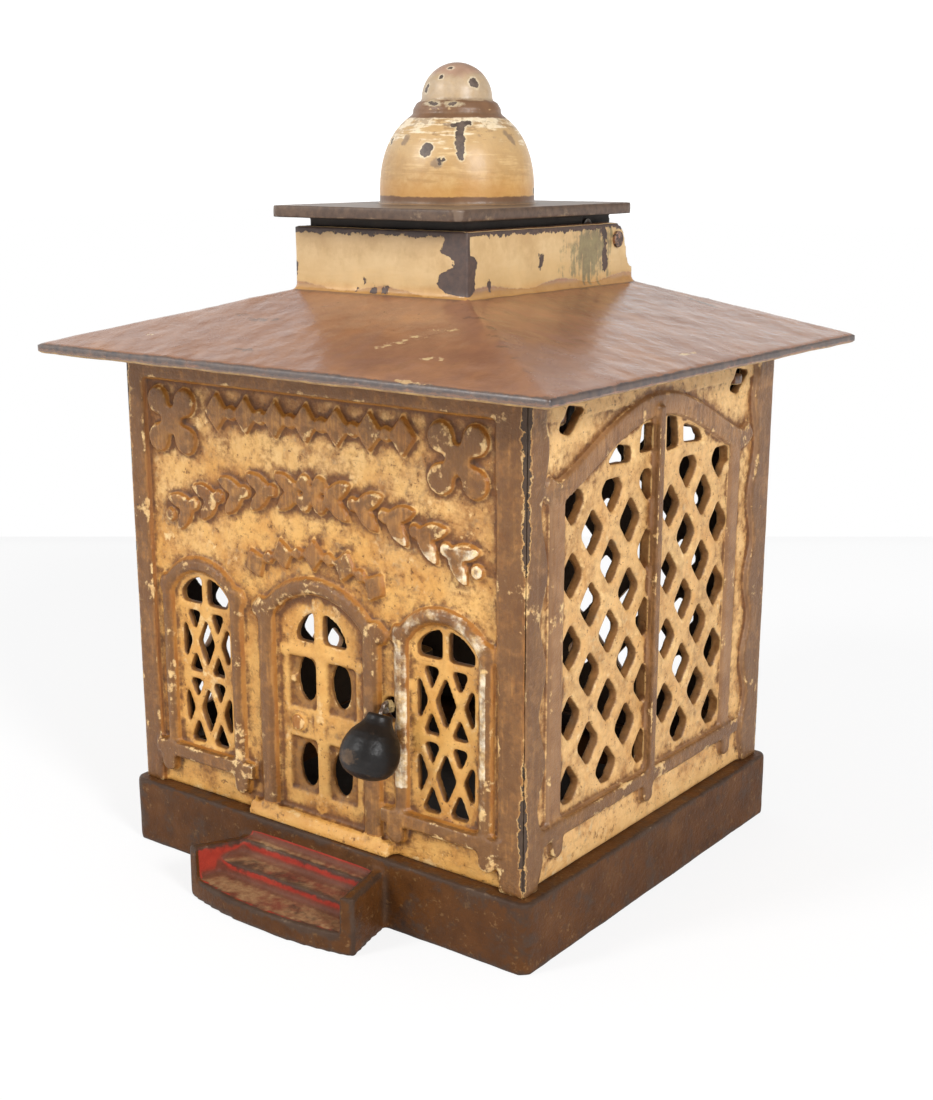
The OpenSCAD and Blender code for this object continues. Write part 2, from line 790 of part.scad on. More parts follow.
// Side outline of the collar with its hinge ears
module collar_outline() {
    ear_y = hinge_y - 1;
    low = slope_top_z - roof_t / 2;
    box2(collar_front_y, ear_y, low, collar_top);
    translate([ear_y, collar_top - ear_r]) circle(r = ear_r);
    polygon([[ear_y, collar_top - ear_r], [ear_y + ear_r, collar_top - ear_r],
             [ear_y + ear_r + 0.2, slope_top_z + 4.4], [ear_y + ear_r + 0.9, slope_top_z + 3.4],
             [collar_back_y - 0.7, slope_top_z + 2.4], [collar_back_y, slope_top_z],
             [collar_back_y, low], [ear_y, low]]);
}

module roof() {
    half = collar_w / 2;
    inner = half - collar_t;
    color("#8a6a50") difference() {
        union() {
            difference() {
                hip(0, 0);
                hip(roof_t, eave_band);
            }
            for (s = [0, 1]) mirror([s, 0, 0]) across(inner, half) collar_outline();
            translate([-half, collar_front_y, slope_top_z - roof_t / 2])
                cube([collar_w, collar_t, collar_h + roof_t / 2]);
            translate([-half, collar_back_y - back_sill_t, slope_top_z - roof_t])
                cube([collar_w, back_sill_t, back_sill_h + roof_t]);
            stop_lugs();
            guide_bracket();
            roof_lugs();
        }
        translate([-inner, collar_front_y + collar_t, eave_z])
            cube([2 * inner, collar_back_y - back_sill_t - collar_front_y - collar_t,
                  slope_top_z - eave_z + 0.01]);
        translate([-roof_w / 2, hinge_y, hinge_z]) rotate([0, 90, 0]) cylinder(h = roof_w, r = pin_r);
        translate([cord_x - 3, guide_y, guide_z]) rotate([0, 90, 0])
            cylinder(h = half - 0.8 - cord_x + 3, r = guide_r);
    }
}

// Lugs inside the collar that stop the carrier's arms when the lid is open
module stop_lugs() {
    z = hinge_z + arm_high + 0.15;
    x0 = arm_out - arm_t + 0.5;
    x1 = collar_w / 2 - collar_t + bite;
    for (s = [-1, 1])
        translate([s > 0 ? x0 : -x1, hinge_y + stop_y - stop_w / 2, z])
            cube([x1 - x0, stop_w, collar_top - 0.3 - z]);
}

// Cheek that carries the inner end of the guide pin
module guide_bracket() {
    y0 = collar_front_y + collar_t - bite;
    translate([cord_x - 2.2, y0, guide_z - guide_cheek_r])
        cube([1.1, guide_y - y0, 2 * guide_cheek_r]);
    translate([cord_x - 2.2, guide_y, guide_z]) rotate([0, 90, 0])
        cylinder(h = 1.1, r = guide_cheek_r);
}

// Lugs that hang inside the side walls and hook into the slots in their tops; the rear noses
// come through to the face, the front ones stop inside
module roof_lugs() {
    inner = walls_w / 2 - wall_t;
    lug = 2.2;
    for (s = [0, 1], i = [0, 1]) mirror([s, 0, 0]) translate([0, slot_y[i], 0]) {
        translate([inner - lug - 0.2, -1.6, lug_z[0] - 0.6])
            cube([lug, 3.2, underside_z(inner) + roof_t / 2 - lug_z[0] + 0.6]);
        translate([inner - 0.4, -lug_w / 2, lug_z[0]])
            cube([i == 1 ? wall_t - field_recess + 0.8 : 1, lug_w, lug_z[1] - lug_z[0]]);
    }
}

module hinge_pin() {
    len = collar_w + 0.8;
    color("#4a443f") translate([0, hinge_y, hinge_z]) rotate([0, 90, 0]) {
        translate([0, 0, -len / 2]) cylinder(h = len, r = pin_r - 0.01);
        for (e = [-1, 1]) translate([0, 0, e * (collar_w / 2 + 0.25)])
            cylinder(h = 0.5, r = pin_r + 0.35, center = true);
    }
}

module guide_pin() {
    x0 = cord_x - 2.6;
    color("#6b6258") translate([x0, guide_y, guide_z]) rotate([0, 90, 0])
        cylinder(h = collar_w / 2 - 0.9 - x0, r = guide_r - 0.01);
}

// Cords

// Front tangent of the guide pin, and the way from it to the stud at rest
stud_rest = [cord_x, hinge_y + stud_y * cos(open_angle) - stud_z * sin(open_angle),
             hinge_z + stud_y * sin(open_angle) + stud_z * cos(open_angle)];
stud_fall = atan2(guide_z - stud_rest[2], stud_rest[1] - guide_y);
function over_guide(a) =
    [cord_x, guide_y - cord_turn * cos(a), guide_z + cord_turn * sin(a)];
hole_in = [pull_x, -walls_d / 2 + wall_t - 0.4, pull_z + 0.5];

module cord_inner() {
    top = 90 + stud_fall;
    edge_y = collar_front_y + collar_t + cord_r + 0.15;
    edge_z = slope_top_z - roof_t;
    color("#a99571") tube(concat([hole_in],
        [[pull_x, hole_in[1] + 1.4, pull_z + 1.1], [pull_x - 0.1, hole_in[1] + 2.2, pull_z + 3],
         [cord_x, edge_y, edge_z - 1.5], [cord_x, edge_y, edge_z - 0.5]],
        [for (a = [0 : 15 : 75]) over_guide(a)], [over_guide(top)]), cord_r);
}

module cord_lift() {
    start = over_guide(90 + stud_fall);
    end = stud_rest + [0, 0, cord_r + stud_r + 0.02];
    color("#a99571") tube([for (i = [0 : 8]) start + (end - start) * (0.01 + 0.99 * i / 8)], cord_r);
}

module cord_outer() {
    eye = [eye_x, eye_y + eye_r + wire_r, eye_z];
    end = hole_in - [0, 0.75, 0];
    color("#a99571") tube([for (i = [0 : 4]) eye + (end - eye) * i / 4], cord_r);
}

// Cupola: lid plate with its rim and lugs, and the hollow dome

// Outline of the dome: foot, bell, neck ring and ball
module dome_outline() {
    foot = plate_top + dome_foot;
    full = 2.4;
    tall = 1.115 * dome_rise;
    ring = foot + dome_rise;
    neck = dome_r * pow(1 - pow(1 / 1.115, full), 1 / full);
    polygon(concat(
        [[0, plate_top - bite], [dome_r, plate_top - bite]],
        [for (i = [0 : 16]) let (u = sin(90 * i / 16) * dome_rise / tall)
            [dome_r * pow(1 - pow(u, full), 1 / full), foot + tall * u]],
        [[neck + 0.3, ring + 0.15], [neck + 0.25, ring + 0.7], [neck - 0.2, ring + 1.25],
         [neck - 0.35, ring + 1.75]],
        [for (i = [0 : 12]) let (a = -4 + 94 * i / 12) [ball_r * cos(a), ball_z + ball_r * sin(a)]]));
}

module dome_hollow() {
    r = dome_r - dome_wall;
    foot = plate_top + dome_foot;
    tall = dome_rise + 0.2;
    polygon(concat([[0, plate_z - past], [r, plate_z - past]],
                   [for (i = [0 : 12]) [r * cos(90 * i / 12), foot + tall * sin(90 * i / 12)]]));
}

// Outline of the lid's hinge lugs, counted from the hinge with the lid closed
module lug_outline() {
    up = plate_z - hinge_z + bite;
    circle(r = hub_r);
    polygon([[-9, up], [1.9, up], [hub_r - 0.3, 0], [-1, -2], [-3.2, -0.8], [-9, 2.4]]);
}

module cupola() {
    rim_t = 1.3;
    rim_x = collar_w / 2 - collar_t + 0.4;
    rim_y0 = collar_front_y + collar_t - 0.4;
    rim_y1 = hinge_y - 8;
    color("#d8bc8a") difference() {
        union() {
            translate([0, lid_mid_y, plate_z]) rounded_slab(lid_w, lid_d, lid_t, 2.4);
            difference() {
                translate([-rim_x, rim_y0, collar_top]) cube([2 * rim_x, rim_y1 - rim_y0, rim_h + bite]);
                translate([-rim_x + rim_t, rim_y0 + rim_t, collar_top - past])
                    cube([2 * (rim_x - rim_t), rim_y1 - rim_y0, rim_h + past]);
            }
            translate([0, lid_mid_y, 0]) rotate_extrude($fn = 128) dome_outline();
            translate([0, hinge_y, hinge_z]) for (s = [0, 1]) mirror([s, 0, 0])
                across(lug_out - lug_t, lug_out) lug_outline();
        }
        translate([0, lid_mid_y, 0]) rotate_extrude($fn = 96) dome_hollow();
        translate([-lid_w, hinge_y, hinge_z]) rotate([0, 90, 0])
            cylinder(h = 2 * lid_w, r = pin_r + pin_fit);
        translate([0, hinge_y, hinge_z]) for (s = [0, 1]) mirror([s, 0, 0])
            translate([lug_out - lug_t - past, rivet_y, rivet_z]) rotate([0, 90, 0])
                cylinder(h = lug_t + 2 * past, r = rivet_r);
    }
}

// Carrier: two arms on the hinge pin, riveted to the lid's lugs, with bars that hold the
// counter and the cashier

module arm_outline(tail) {
    polygon([[arm_end, arm_low], [-2, arm_low + 0.8], [1.5, 0], [0, 0.6], [-4, arm_high],
             [arm_end, arm_high]]);
    circle(r = hub_r);
    rotate(-open_angle) {
        polygon([[rivet_y - 1, rivet_z - 1], [-1, -1.6], [1.6, 0], [0.5, 2.2],
                 [rivet_y, rivet_z + 1.4]]);
        translate([rivet_y, rivet_z]) circle(r = 1.6);
    }
    if (tail) {
        translate([stud_y, stud_z]) circle(r = 1.8);
        box2(stud_y - 1.7, stud_y + 1.7, stud_z, arm_low + 1);
    }
}

module carrier() {
    wide = arm_out;
    color("#57493d") stowed() difference() {
        union() {
            across(wide - arm_t, wide) arm_outline(true);
            across(-wide, -wide + arm_t) arm_outline(false);
            for (y = [counter_front + 0.4, counter_front + counter_d - bar_w, body_y - bar_w / 2])
                translate([-wide + bite, y, arm_low + 0.2]) cube([2 * wide - 2 * bite, bar_w, bar_t]);
        }
        translate([-lid_w, 0, 0]) rotate([0, 90, 0]) cylinder(h = 2 * lid_w, r = pin_r + pin_fit);
        rotate([-open_angle, 0, 0]) translate([-lid_w, rivet_y, rivet_z]) rotate([0, 90, 0])
            cylinder(h = 2 * lid_w, r = rivet_r);
        translate([0, stud_y, stud_z]) rotate([0, 90, 0]) cylinder(h = lid_w, r = stud_r);
        for (x = [-1, 1]) translate([x * 6, counter_front + 1.7, arm_low - past])
            cylinder(h = bar_t + 2 * past, r = 0.65);
        translate([0, body_y, arm_low - past]) cylinder(h = bar_t + 2 * past, r = 0.85);
    }
}

module carrier_rivets() {
    color("#4a443f") translate([0, hinge_y, hinge_z]) for (s = [0, 1]) mirror([s, 0, 0])
        translate([0, rivet_y, rivet_z]) rotate([0, 90, 0]) {
            translate([0, 0, lug_out - lug_t - arm_t - 0.4])
                cylinder(h = lug_t + arm_t + 0.8, r = rivet_r - 0.01);
            for (x = [lug_out - lug_t - arm_t - 0.2, lug_out + 0.2]) translate([0, 0, x])
                cylinder(h = 0.4, r = rivet_r + 0.5, center = true);
        }
}

module cord_stud() {
    out = arm_out;
    color("#6b6258") stowed() translate([0, stud_y, stud_z]) rotate([0, 90, 0]) {
        translate([0, 0, out - arm_t - 0.3]) cylinder(h = arm_t + 2.4, r = stud_r - 0.01);
        translate([0, 0, out - arm_t - 0.25]) cylinder(h = 0.5, r = stud_r + 0.5, center = true);
        translate([0, 0, out + 1.9]) cylinder(h = 0.4, r = stud_r + 0.4, center = true);
    }
}

// Counter: an open-backed box with a top board that stands out a little
module counter() {
    half = counter_w / 2;
    low = arm_low + 0.2 + bar_t;
    board = 1.3;
    side = 1.4;
    color("#7d3b23") stowed() difference() {
        union() {
            translate([-half + 0.6, counter_front + 0.4, low])
                cube([counter_w - 1.2, counter_d - 1, counter_h - board + bite]);
            translate([-half, counter_front, low + counter_h - board])
                cube([counter_w, counter_d, board]);
        }
        translate([-half + 0.6 + side, counter_front + 0.4 + 2.6, low - past])
            cube([counter_w - 1.2 - 2 * side, counter_d, counter_h - board + past]);
        for (x = [-1, 1]) translate([x * 6, counter_front + 1.7, low - past])
            cylinder(h = past + 2.6, r = 0.6);
    }
}

module counter_screws() {
    color("#6b6258") stowed() for (x = [-1, 1])
        translate([x * 6, counter_front + 1.7, arm_low + 0.2 - 0.5]) {
            cylinder(h = bar_t + 0.5 + 2.2, r = 0.59);
            cylinder(h = 0.5, r = 1.15);
        }
}

// Cashier: a turned and carved figure to the waist, with the forearms on the counter
module cashier_body() {
    low = arm_low + 0.2 + bar_t;
    drop = shoulder_z - elbow_z;
    color("#2f3a4a") stowed() translate([0, body_y, low]) difference() {
        union() {
            rotate_extrude() polygon([[0, 0], [3.2, 0], [3.4, 0.8], [2.9, 2.2], [3.0, 4.5],
                                      [3.3, shoulder_z - 2.5], [3.2, shoulder_z], [2.5, body_h - 2.4],
                                      [1.5, body_h - 1.7], [1.4, body_h - 1], [0, body_h - 1]]);
            for (s = [-1, 1]) translate([s * 3.1, 0, shoulder_z]) {
                sphere(r = 1.7, $fn = 32);
                translate([0, 0, -drop]) cylinder(h = drop, r = 1.35);
                translate([0, 0, -drop]) sphere(r = 1.35, $fn = 32);
                translate([0, 0, -drop]) rotate([90, 0, -s * 12]) cylinder(h = 7.2, r = sleeve_r);
            }
        }
        translate([0, 0, -past]) cylinder(h = past + 3, r = 0.8);
    }
}

module cashier_head() {
    low = arm_low + 0.2 + bar_t;
    color("#dcb493") stowed() translate([0, body_y, low + body_h - 1]) {
        cylinder(h = 2, r = 1.35);
        translate([0, 0, 0.6 + head_r]) sphere(r = head_r);
        translate([0, -head_r + 0.1, 0.4 + head_r]) sphere(r = 0.5, $fn = 24);
    }
}

module cashier_screw() {
    color("#6b6258") stowed() translate([0, body_y, arm_low + 0.2 - 0.6]) {
        cylinder(h = bar_t + 0.6 + 2.8, r = 0.79);
        cylinder(h = 0.6, r = 1.5);
    }
}

// Pull

// Places a shape drawn along the knob's length, from its neck downwards, at the pull hole
module hung() {
    translate([knob_x, knob_neck_y, knob_neck_z]) rotate([180 - knob_tilt, 0, 0]) children();
}

module pull_knob() {
    r = knob_r;
    color("#2b2e38") hung() rotate_extrude($fn = 64) polygon([
        [0.45, 0], [1.75, 0], [2.05, 0.35], [2.15, 1.0], [2.5, 1.7], [3.15, 2.4], [0.81 * r, 3.15],
        [0.91 * r, 4.1], [0.98 * r, 5.2], [r, 6.2], [0.98 * r, 7.2], [0.9 * r, 8.3], [0.73 * r, 9.25],
        [0.46 * r, knob_len - 0.3], [0.9, knob_len], [0.45, knob_len - 0.3]]);
}

module knob_wire() {
    color("#8d8a85") {
        hung() {
            translate([0, 0, -0.5]) cylinder(h = knob_len + 0.2, r = wire_r + 0.08, $fn = 24);
        }
        translate([eye_x, eye_y, eye_z]) rotate([0, 90, 0])
            rotate_extrude() translate([eye_r, 0]) circle(r = wire_r, $fn = 24);
        tube([[knob_x, knob_neck_y + 0.21, knob_neck_z + 0.45], [knob_x - 0.25, eye_y - 1.05, eye_z - 0.05],
              [eye_x, eye_y - 0.55, eye_z - 0.35]], wire_r, 10);
    }
}

base_plinth();
bottom_plate();
base_screws();
front_wall();
back_wall();
left_wall();
right_wall();
roof();
hinge_pin();
guide_pin();
cord_inner();
cupola();
carrier();
carrier_rivets();
cord_stud();
counter();
counter_screws();
cashier_body();
cashier_head();
cashier_screw();
cord_lift();
pull_knob();
knob_wire();
cord_outer();
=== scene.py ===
# Cast iron mechanical bank: a small building with lattice windows, a domed lid and a pull knob.
# Places are in millimetres, with +Z up, the front towards -Y and the origin under the middle.

import bpy
import numpy as np
from math import cos, pi, radians, sin
from mathutils import Matrix, Vector


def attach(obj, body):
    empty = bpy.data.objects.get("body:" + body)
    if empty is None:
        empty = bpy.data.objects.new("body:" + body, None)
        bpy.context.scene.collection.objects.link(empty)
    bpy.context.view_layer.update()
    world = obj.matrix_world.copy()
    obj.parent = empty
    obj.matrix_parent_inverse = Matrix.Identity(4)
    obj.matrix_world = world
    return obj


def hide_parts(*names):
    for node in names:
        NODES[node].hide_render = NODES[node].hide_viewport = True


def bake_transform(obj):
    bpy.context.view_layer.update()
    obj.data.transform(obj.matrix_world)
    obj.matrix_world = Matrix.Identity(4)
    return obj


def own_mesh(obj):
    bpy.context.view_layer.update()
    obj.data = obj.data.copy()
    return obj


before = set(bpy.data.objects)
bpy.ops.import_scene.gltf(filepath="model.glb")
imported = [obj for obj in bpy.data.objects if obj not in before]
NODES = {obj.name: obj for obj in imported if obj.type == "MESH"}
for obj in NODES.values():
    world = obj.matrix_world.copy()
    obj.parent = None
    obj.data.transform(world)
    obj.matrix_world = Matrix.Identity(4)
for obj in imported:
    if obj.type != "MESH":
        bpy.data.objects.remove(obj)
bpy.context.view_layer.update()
MM = 0.001
COARSE = 1.0

# Outer faces of the side walls, and of the front and back walls
WALL_X = 40.9
WALL_Y = 37.8
# How far the walls' fields lie behind their faces, and where the corner posts begin
FIELD = 1.0
POST = 36.2
SIDE_POST = 30.2
PLINTH_Y = 39.4
COLLAR_X = 17.5
COLLAR_FRONT = -20.7
COLLAR_FOOT = 97.6
COLLAR_TOP = 107.7
EAVE = 88.7
# Half sizes of the eaves and the lid, just inside their worn rims
EAVES_RIM = (50.6, 47.35)
LID_RIM = (19.15, 24.85)
# Where the lid's hinge runs, and the degrees that the lid opens
HINGE = Vector((0, 22.3, 104.9))
OPEN = 76
LID_Y = 0.1
PLATE_TOP = 111.0
DOME_R = 13.4
DOME_RING = PLATE_TOP + 14.4
BALL_CROWN = 130.8
# Degrees that the camera is turned to the bank's right, and that it looks down
CAMERA_TURN = 36.99
CAMERA_DIP = 14.79


# Tools for modelling

def pick(*pieces):
    bpy.ops.object.select_all(action="DESELECT")
    for piece in pieces:
        piece.select_set(True)
    bpy.context.view_layer.objects.active = pieces[0]


def modify(piece, kind, **settings):
    pick(piece)
    modifier = piece.modifiers.new(kind.lower(), kind)
    for name, value in settings.items():
        setattr(modifier, name, value)
    bpy.ops.object.modifier_apply(modifier=modifier.name)


def copy_of(node, name):
    """A new piece with a copy of a CAD node's mesh, its loose corners joined."""
    piece = bpy.data.objects.new(name, NODES[node].data.copy())
    bpy.context.scene.collection.objects.link(piece)
    pick(piece)
    bpy.ops.object.mode_set(mode="EDIT")
    bpy.ops.mesh.select_all(action="SELECT")
    bpy.ops.mesh.remove_doubles(threshold=0.000001)
    bpy.ops.object.mode_set(mode="OBJECT")
    piece.data.materials.clear()
    return piece


def smooth_shade(piece):
    pick(piece)
    bpy.ops.object.shade_smooth()


def points_of(piece):
    """Places in millimetres and normals of a piece's vertices."""
    mesh = piece.data
    count = len(mesh.vertices)
    place = np.empty(count * 3, np.float32)
    mesh.vertices.foreach_get("co", place)
    normal = np.empty(count * 3, np.float32)
    mesh.vertex_normals.foreach_get("vector", normal)
    return place.reshape(-1, 3) / MM, normal.reshape(-1, 3)


def store(piece, name, values):
    """Gives each vertex a value that the materials read by its name."""
    attribute = piece.data.attributes.new(name, "FLOAT", "POINT")
    attribute.data.foreach_set("value", np.asarray(values, np.float32))


def stored(piece, name):
    values = np.empty(len(piece.data.vertices), np.float32)
    piece.data.attributes[name].data.foreach_get("value", values)
    return values


# The surface is compared with itself after these many rounds of smoothing
FORMS = {3: "edge", 14: "hollow", 60: "grime"}


def store_form(piece):
    """Stores how sharply the surface stands out or falls in, in millimetres, over three widths."""
    place, normal = points_of(piece)
    count = len(place)
    ends = np.empty(len(piece.data.edges) * 2, np.int32)
    piece.data.edges.foreach_get("vertices", ends)
    a, b = ends[0::2], ends[1::2]
    share = 1.0 / np.maximum(np.bincount(a, minlength=count) + np.bincount(b, minlength=count), 1)
    soft = place.astype(np.float64)
    for step in range(1, max(FORMS) + 1):
        total = np.stack([np.bincount(a, soft[b, k], count) + np.bincount(b, soft[a, k], count)
                          for k in range(3)], 1)
        soft = 0.4 * soft + 0.6 * total * share[:, None]
        if step in FORMS:
            away = ((soft - place) * normal).sum(1)
            store(piece, FORMS[step], -away if FORMS[step] == "edge" else away)
    return place, normal


def casting(node, body, grid, wave=0.12, rounds=5):
    """A rough casting from its CAD shape: rounded edges and a slightly uneven skin."""
    piece = copy_of(node, node + "_casting")
    modify(piece, "REMESH", mode="VOXEL", voxel_size=grid * COARSE * MM, use_smooth_shade=True)
    modify(piece, "SMOOTH", factor=0.5, iterations=rounds)
    if wave:
        for size, share in ((9.0, 1.0), (2.6, 0.4)):
            ripple = bpy.data.textures.new(node + "_ripple", "CLOUDS")
            ripple.noise_scale = size * MM
            ripple.noise_depth = 2
            modify(piece, "DISPLACE", texture=ripple, texture_coords="LOCAL", mid_level=0.5,
                   strength=wave * share * MM)
    smooth_shade(piece)
    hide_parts(node)
    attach(piece, body)
    return piece


def patches(place, spots):
    """How deep, in millimetres, each point lies inside the nearest of some rounded patches, which
    are given by their middles and their radius or three half widths."""
    best = np.full(len(place), -9.0)
    for x, y, z, *reach in spots:
        away = np.sqrt((((place - np.array((x, y, z))) / np.array(reach)) ** 2).sum(1))
        best = np.maximum(best, (1 - away) * np.min(reach))
    return best


def move_points(piece, place):
    """Puts a piece's vertices at new places in millimetres."""
    piece.data.vertices.foreach_set("co", (place * MM).astype(np.float32).ravel())
    piece.data.update()


# Tools for materials

def colour(code):
    """An sRGB hex value as the linear colour a socket takes."""
    parts = [int(code[i:i + 2], 16) / 255 for i in (1, 3, 5)]
    return (*[p / 12.92 if p <= 0.04045 else ((p + 0.055) / 1.055) ** 2.4 for p in parts], 1)


def add(tree, kind, sockets=(), **settings):
    """Adds a node with its settings, and sets or links its sockets."""
    made = tree.nodes.new(kind)
    for name, value in settings.items():
        setattr(made, name, value)
    for key, value in dict(sockets).items():
        if isinstance(value, bpy.types.NodeSocket):
            tree.links.new(value, made.inputs[key])
        else:
            made.inputs[key].default_value = value
    return made


def new_material(name):
    """A material, its empty node tree and the socket of places on the piece."""
    material = bpy.data.materials.new(name)
    material.use_nodes = True
    tree = material.node_tree
    tree.nodes.clear()
    return material, tree, add(tree, "ShaderNodeTexCoord").outputs["Object"]


def reckon(tree, kind, *values):
    """A sum on up to three values."""
    return add(tree, "ShaderNodeMath", enumerate(values), operation=kind).outputs[0]


def ramp(tree, value, start, full, low=0.0, high=1.0, kind="LINEAR"):
    """A number that goes from low to high while the value goes from start to full."""
    limits = {"Value": value, "From Min": start, "From Max": full, "To Min": low, "To Max": high}
    return add(tree, "ShaderNodeMapRange", limits, interpolation_type=kind).outputs[0]


def mixed(tree, share, first, second):
    """Two colours mixed, with a share of the second."""
    return add(tree, "ShaderNodeMix", {0: share, 6: first, 7: second}, data_type="RGBA").outputs[2]


# Sizes in millimetres of the patterns that paint, dirt and wear follow, their detail and roughness,
# and how they are drawn out: "brush" runs level and "run" downwards
PATTERNS = {"grain": (0.45, 2, 0.5, (1, 1, 1)), "grit": (1.3, 5, 0.65, (1, 1, 1)),
            "blot": (5.0, 6, 0.62, (1, 1, 1)), "cloud": (22.0, 4, 0.55, (1, 1, 1)),
            "brush": (0.7, 4, 0.6, (0.12, 0.12, 1)), "run": (0.8, 4, 0.6, (1, 1, 0.08))}
# The part of a pattern's range over which a coat's first colour gives way to its second
BLEND = (0.36, 0.64)


def coat(first, second, at=None, where=None, share=1.0, blend="blot1", rough=None, sink=0, **ragged):
    """A coat of paint, dirt or wear: two colours that the pattern blend mixes, the two values of the
    attribute where that it starts and is full at, how much of it shows there, its roughness, how
    far it sinks, and how much each pattern shifts its border."""
    return {"colours": (first, second), "at": at, "where": where, "share": share, "blend": blend,
            "rough": rough, "sink": sink, "ragged": ragged}


def painted(name, coats, roughness, skin, specular):
    """A surface built up in coats, with two heights of skin that its finer patterns give it."""
    material, tree, place = new_material(name)
    drawn = {}
    for pattern, (size, detail, spread, draw) in PATTERNS.items():
        along = add(tree, "ShaderNodeVectorMath", {0: place, 1: draw}, operation="MULTIPLY").outputs[0]
        noise = add(tree, "ShaderNodeTexNoise", {"Vector": along, "Scale": 1 / (size * MM),
                                                 "Detail": detail, "Roughness": spread})
        parts = add(tree, "ShaderNodeSeparateColor", {"Color": noise.outputs["Color"]})
        for channel, number in (("Red", "1"), ("Green", "2"), ("Blue", "3")):
            drawn[pattern + number] = parts.outputs[channel]
    height = reckon(tree, "MULTIPLY", drawn["grain1"], skin[0])
    height = reckon(tree, "MULTIPLY_ADD", drawn["grit1"], skin[1], height)
    for layer in coats:
        first, second = layer["colours"]
        tone = mixed(tree, ramp(tree, drawn[layer["blend"]], *BLEND), colour(first), colour(second))
        # The first coat covers everything
        if not layer["at"]:
            face = tone
            continue
        value, shift = 0.0, 0.0
        if layer["where"]:
            value = add(tree, "ShaderNodeAttribute", attribute_name=layer["where"]).outputs["Fac"]
        for pattern, amount in layer["ragged"].items():
            value = reckon(tree, "MULTIPLY_ADD", drawn[pattern], amount, value)
            shift += amount / 2
        start, full = layer["at"]
        mask = ramp(tree, value, start + shift, full + shift, high=layer["share"], kind="SMOOTHSTEP")
        face = mixed(tree, mask, face, tone)
        if layer["rough"]:
            roughness = add(tree, "ShaderNodeMix", {0: mask, 2: roughness, 3: layer["rough"]},
                            data_type="FLOAT").outputs[0]
        if layer["sink"]:
            height = reckon(tree, "MULTIPLY_ADD", mask, -layer["sink"], height)
    bump = add(tree, "ShaderNodeBump", {"Height": height, "Distance": MM, "Strength": 1.0})
    shader = add(tree, "ShaderNodeBsdfPrincipled", {"Base Color": face, "Roughness": roughness,
                                                    "Normal": bump.outputs[0], "IOR": 1.5,
                                                    "Specular IOR Level": specular})
    add(tree, "ShaderNodeOutputMaterial", {"Surface": shader.outputs[0]})
    return material


def finish_with(piece, material):
    piece.data.materials.clear()
    piece.data.materials.append(material)


# Camera

camera = bpy.data.objects.new("camera", bpy.data.cameras.new("camera"))
camera.location = (162.8 * MM, -214.8 * MM, 118.8 * MM)
camera.rotation_euler = (radians(90 - CAMERA_DIP), 0, radians(CAMERA_TURN))
camera.data.sensor_width = 36
camera.data.lens = 51.77
camera.data.shift_x = 0.0045
camera.data.shift_y = 0.0206
camera.data.clip_start = 0.01
bpy.context.scene.collection.objects.link(camera)
bpy.context.scene.camera = camera

# Walls

# Old oil enamel on rough cast iron: ochre fields browned in the hollows with soil and painted shade,
# brown trim on what stands out, rubbed through to the cream coat on edges and to dark iron on corners

def field(first, second, soil_and_shade, cream):
    """The coats of a wall's field, with how strong its soil, with the painted shade in its broad hollows, and
    its paler patches are.
    """
    return [
        coat(first, second),
        coat("#e6c68f", "#d6aa6b", (48, 80), "height", share=0.5, blend="grit2", cloud1=90, blot2=50),
        coat("#b5772f", "#a0672a", (0.0, 0.34), share=0.72 * soil_and_shade, cloud2=1.0, blot3=0.5, grit1=0.5),
        coat("#ecd4a6", "#dcb67a", (0.06, 0.34), share=cream, blend="grit3", cloud3=0.6, blot1=0.7, grit2=0.9),
        coat("#9a6429", "#86541f", (0.1, 0.3), share=0.55 * soil_and_shade, blend="grit1", brush1=0.8, blot2=0.7),
        # Brown in the broad hollows: soil with painted shade
        coat("#7d4d20", "#96602a", (-0.04, 0.36), "grime", share=0.82 * soil_and_shade, blend="grit1", blot1=0.9,
             grit3=0.9),
        # Dark brown deep in the hollows: soil with painted shade
        coat("#532f14", "#754820", (0.0, 0.14), "hollow", share=0.95, blend="grit3", grit2=0.35, blot2=0.2),
        coat("#6e431b", "#54330f", (0.13, 0.22), share=0.7 * soil_and_shade, sink=0.04, grain2=0.7, grit3=1.0),
    ]


# Specks, soil with painted shade deeper in the hollows, the rubbed corners, painted shade with soil on the
# sides of the holes, and the walls' bare backs
WORN_OUT = [
    # Darker brown deeper in the hollows: soil with painted shade
    coat("#4e3420", "#3c2a1d", (0.16, 0.34), "hollow", share=0.8, grit1=0.3),
    coat("#2e2620", "#453222", (0.25, 0.285), share=0.9, blend="grit1", sink=0.05, grit2=0.8, blot3=0.55,
         grain3=0.25),
    coat("#dcb67c", "#b07d40", (-0.3, -0.12), "corner", share=0.7, blend="grit2", grit3=2.0, blot1=2.6,
         cloud3=2.4, grain1=0.3),
    coat("#2a211d", "#42332a", (0.0, 0.1), "corner", share=0.95, rough=0.55, sink=0.06, grit3=2.0, blot1=2.6,
         cloud3=2.4, grain2=0.3),
    # Painted shade with soil on the sides of the holes and recesses
    coat("#86562a", "#52331b", (0.2, 0.65), "across", share=0.88, grit2=0.7, blot1=0.5),
    coat("#261d17", "#38291e", (0.35, 0.7), "inward", share=0.97, rough=0.75, grit1=0.4),
]


# Darker brown in the windows' lattices and the door's panels, more where the front lies further back
RECESS = [
    coat("#85551f", "#5f3814", (0.05, 0.9), "recess", share=0.8, blend="grit2", blot2=1.0, grit1=1.0),
]


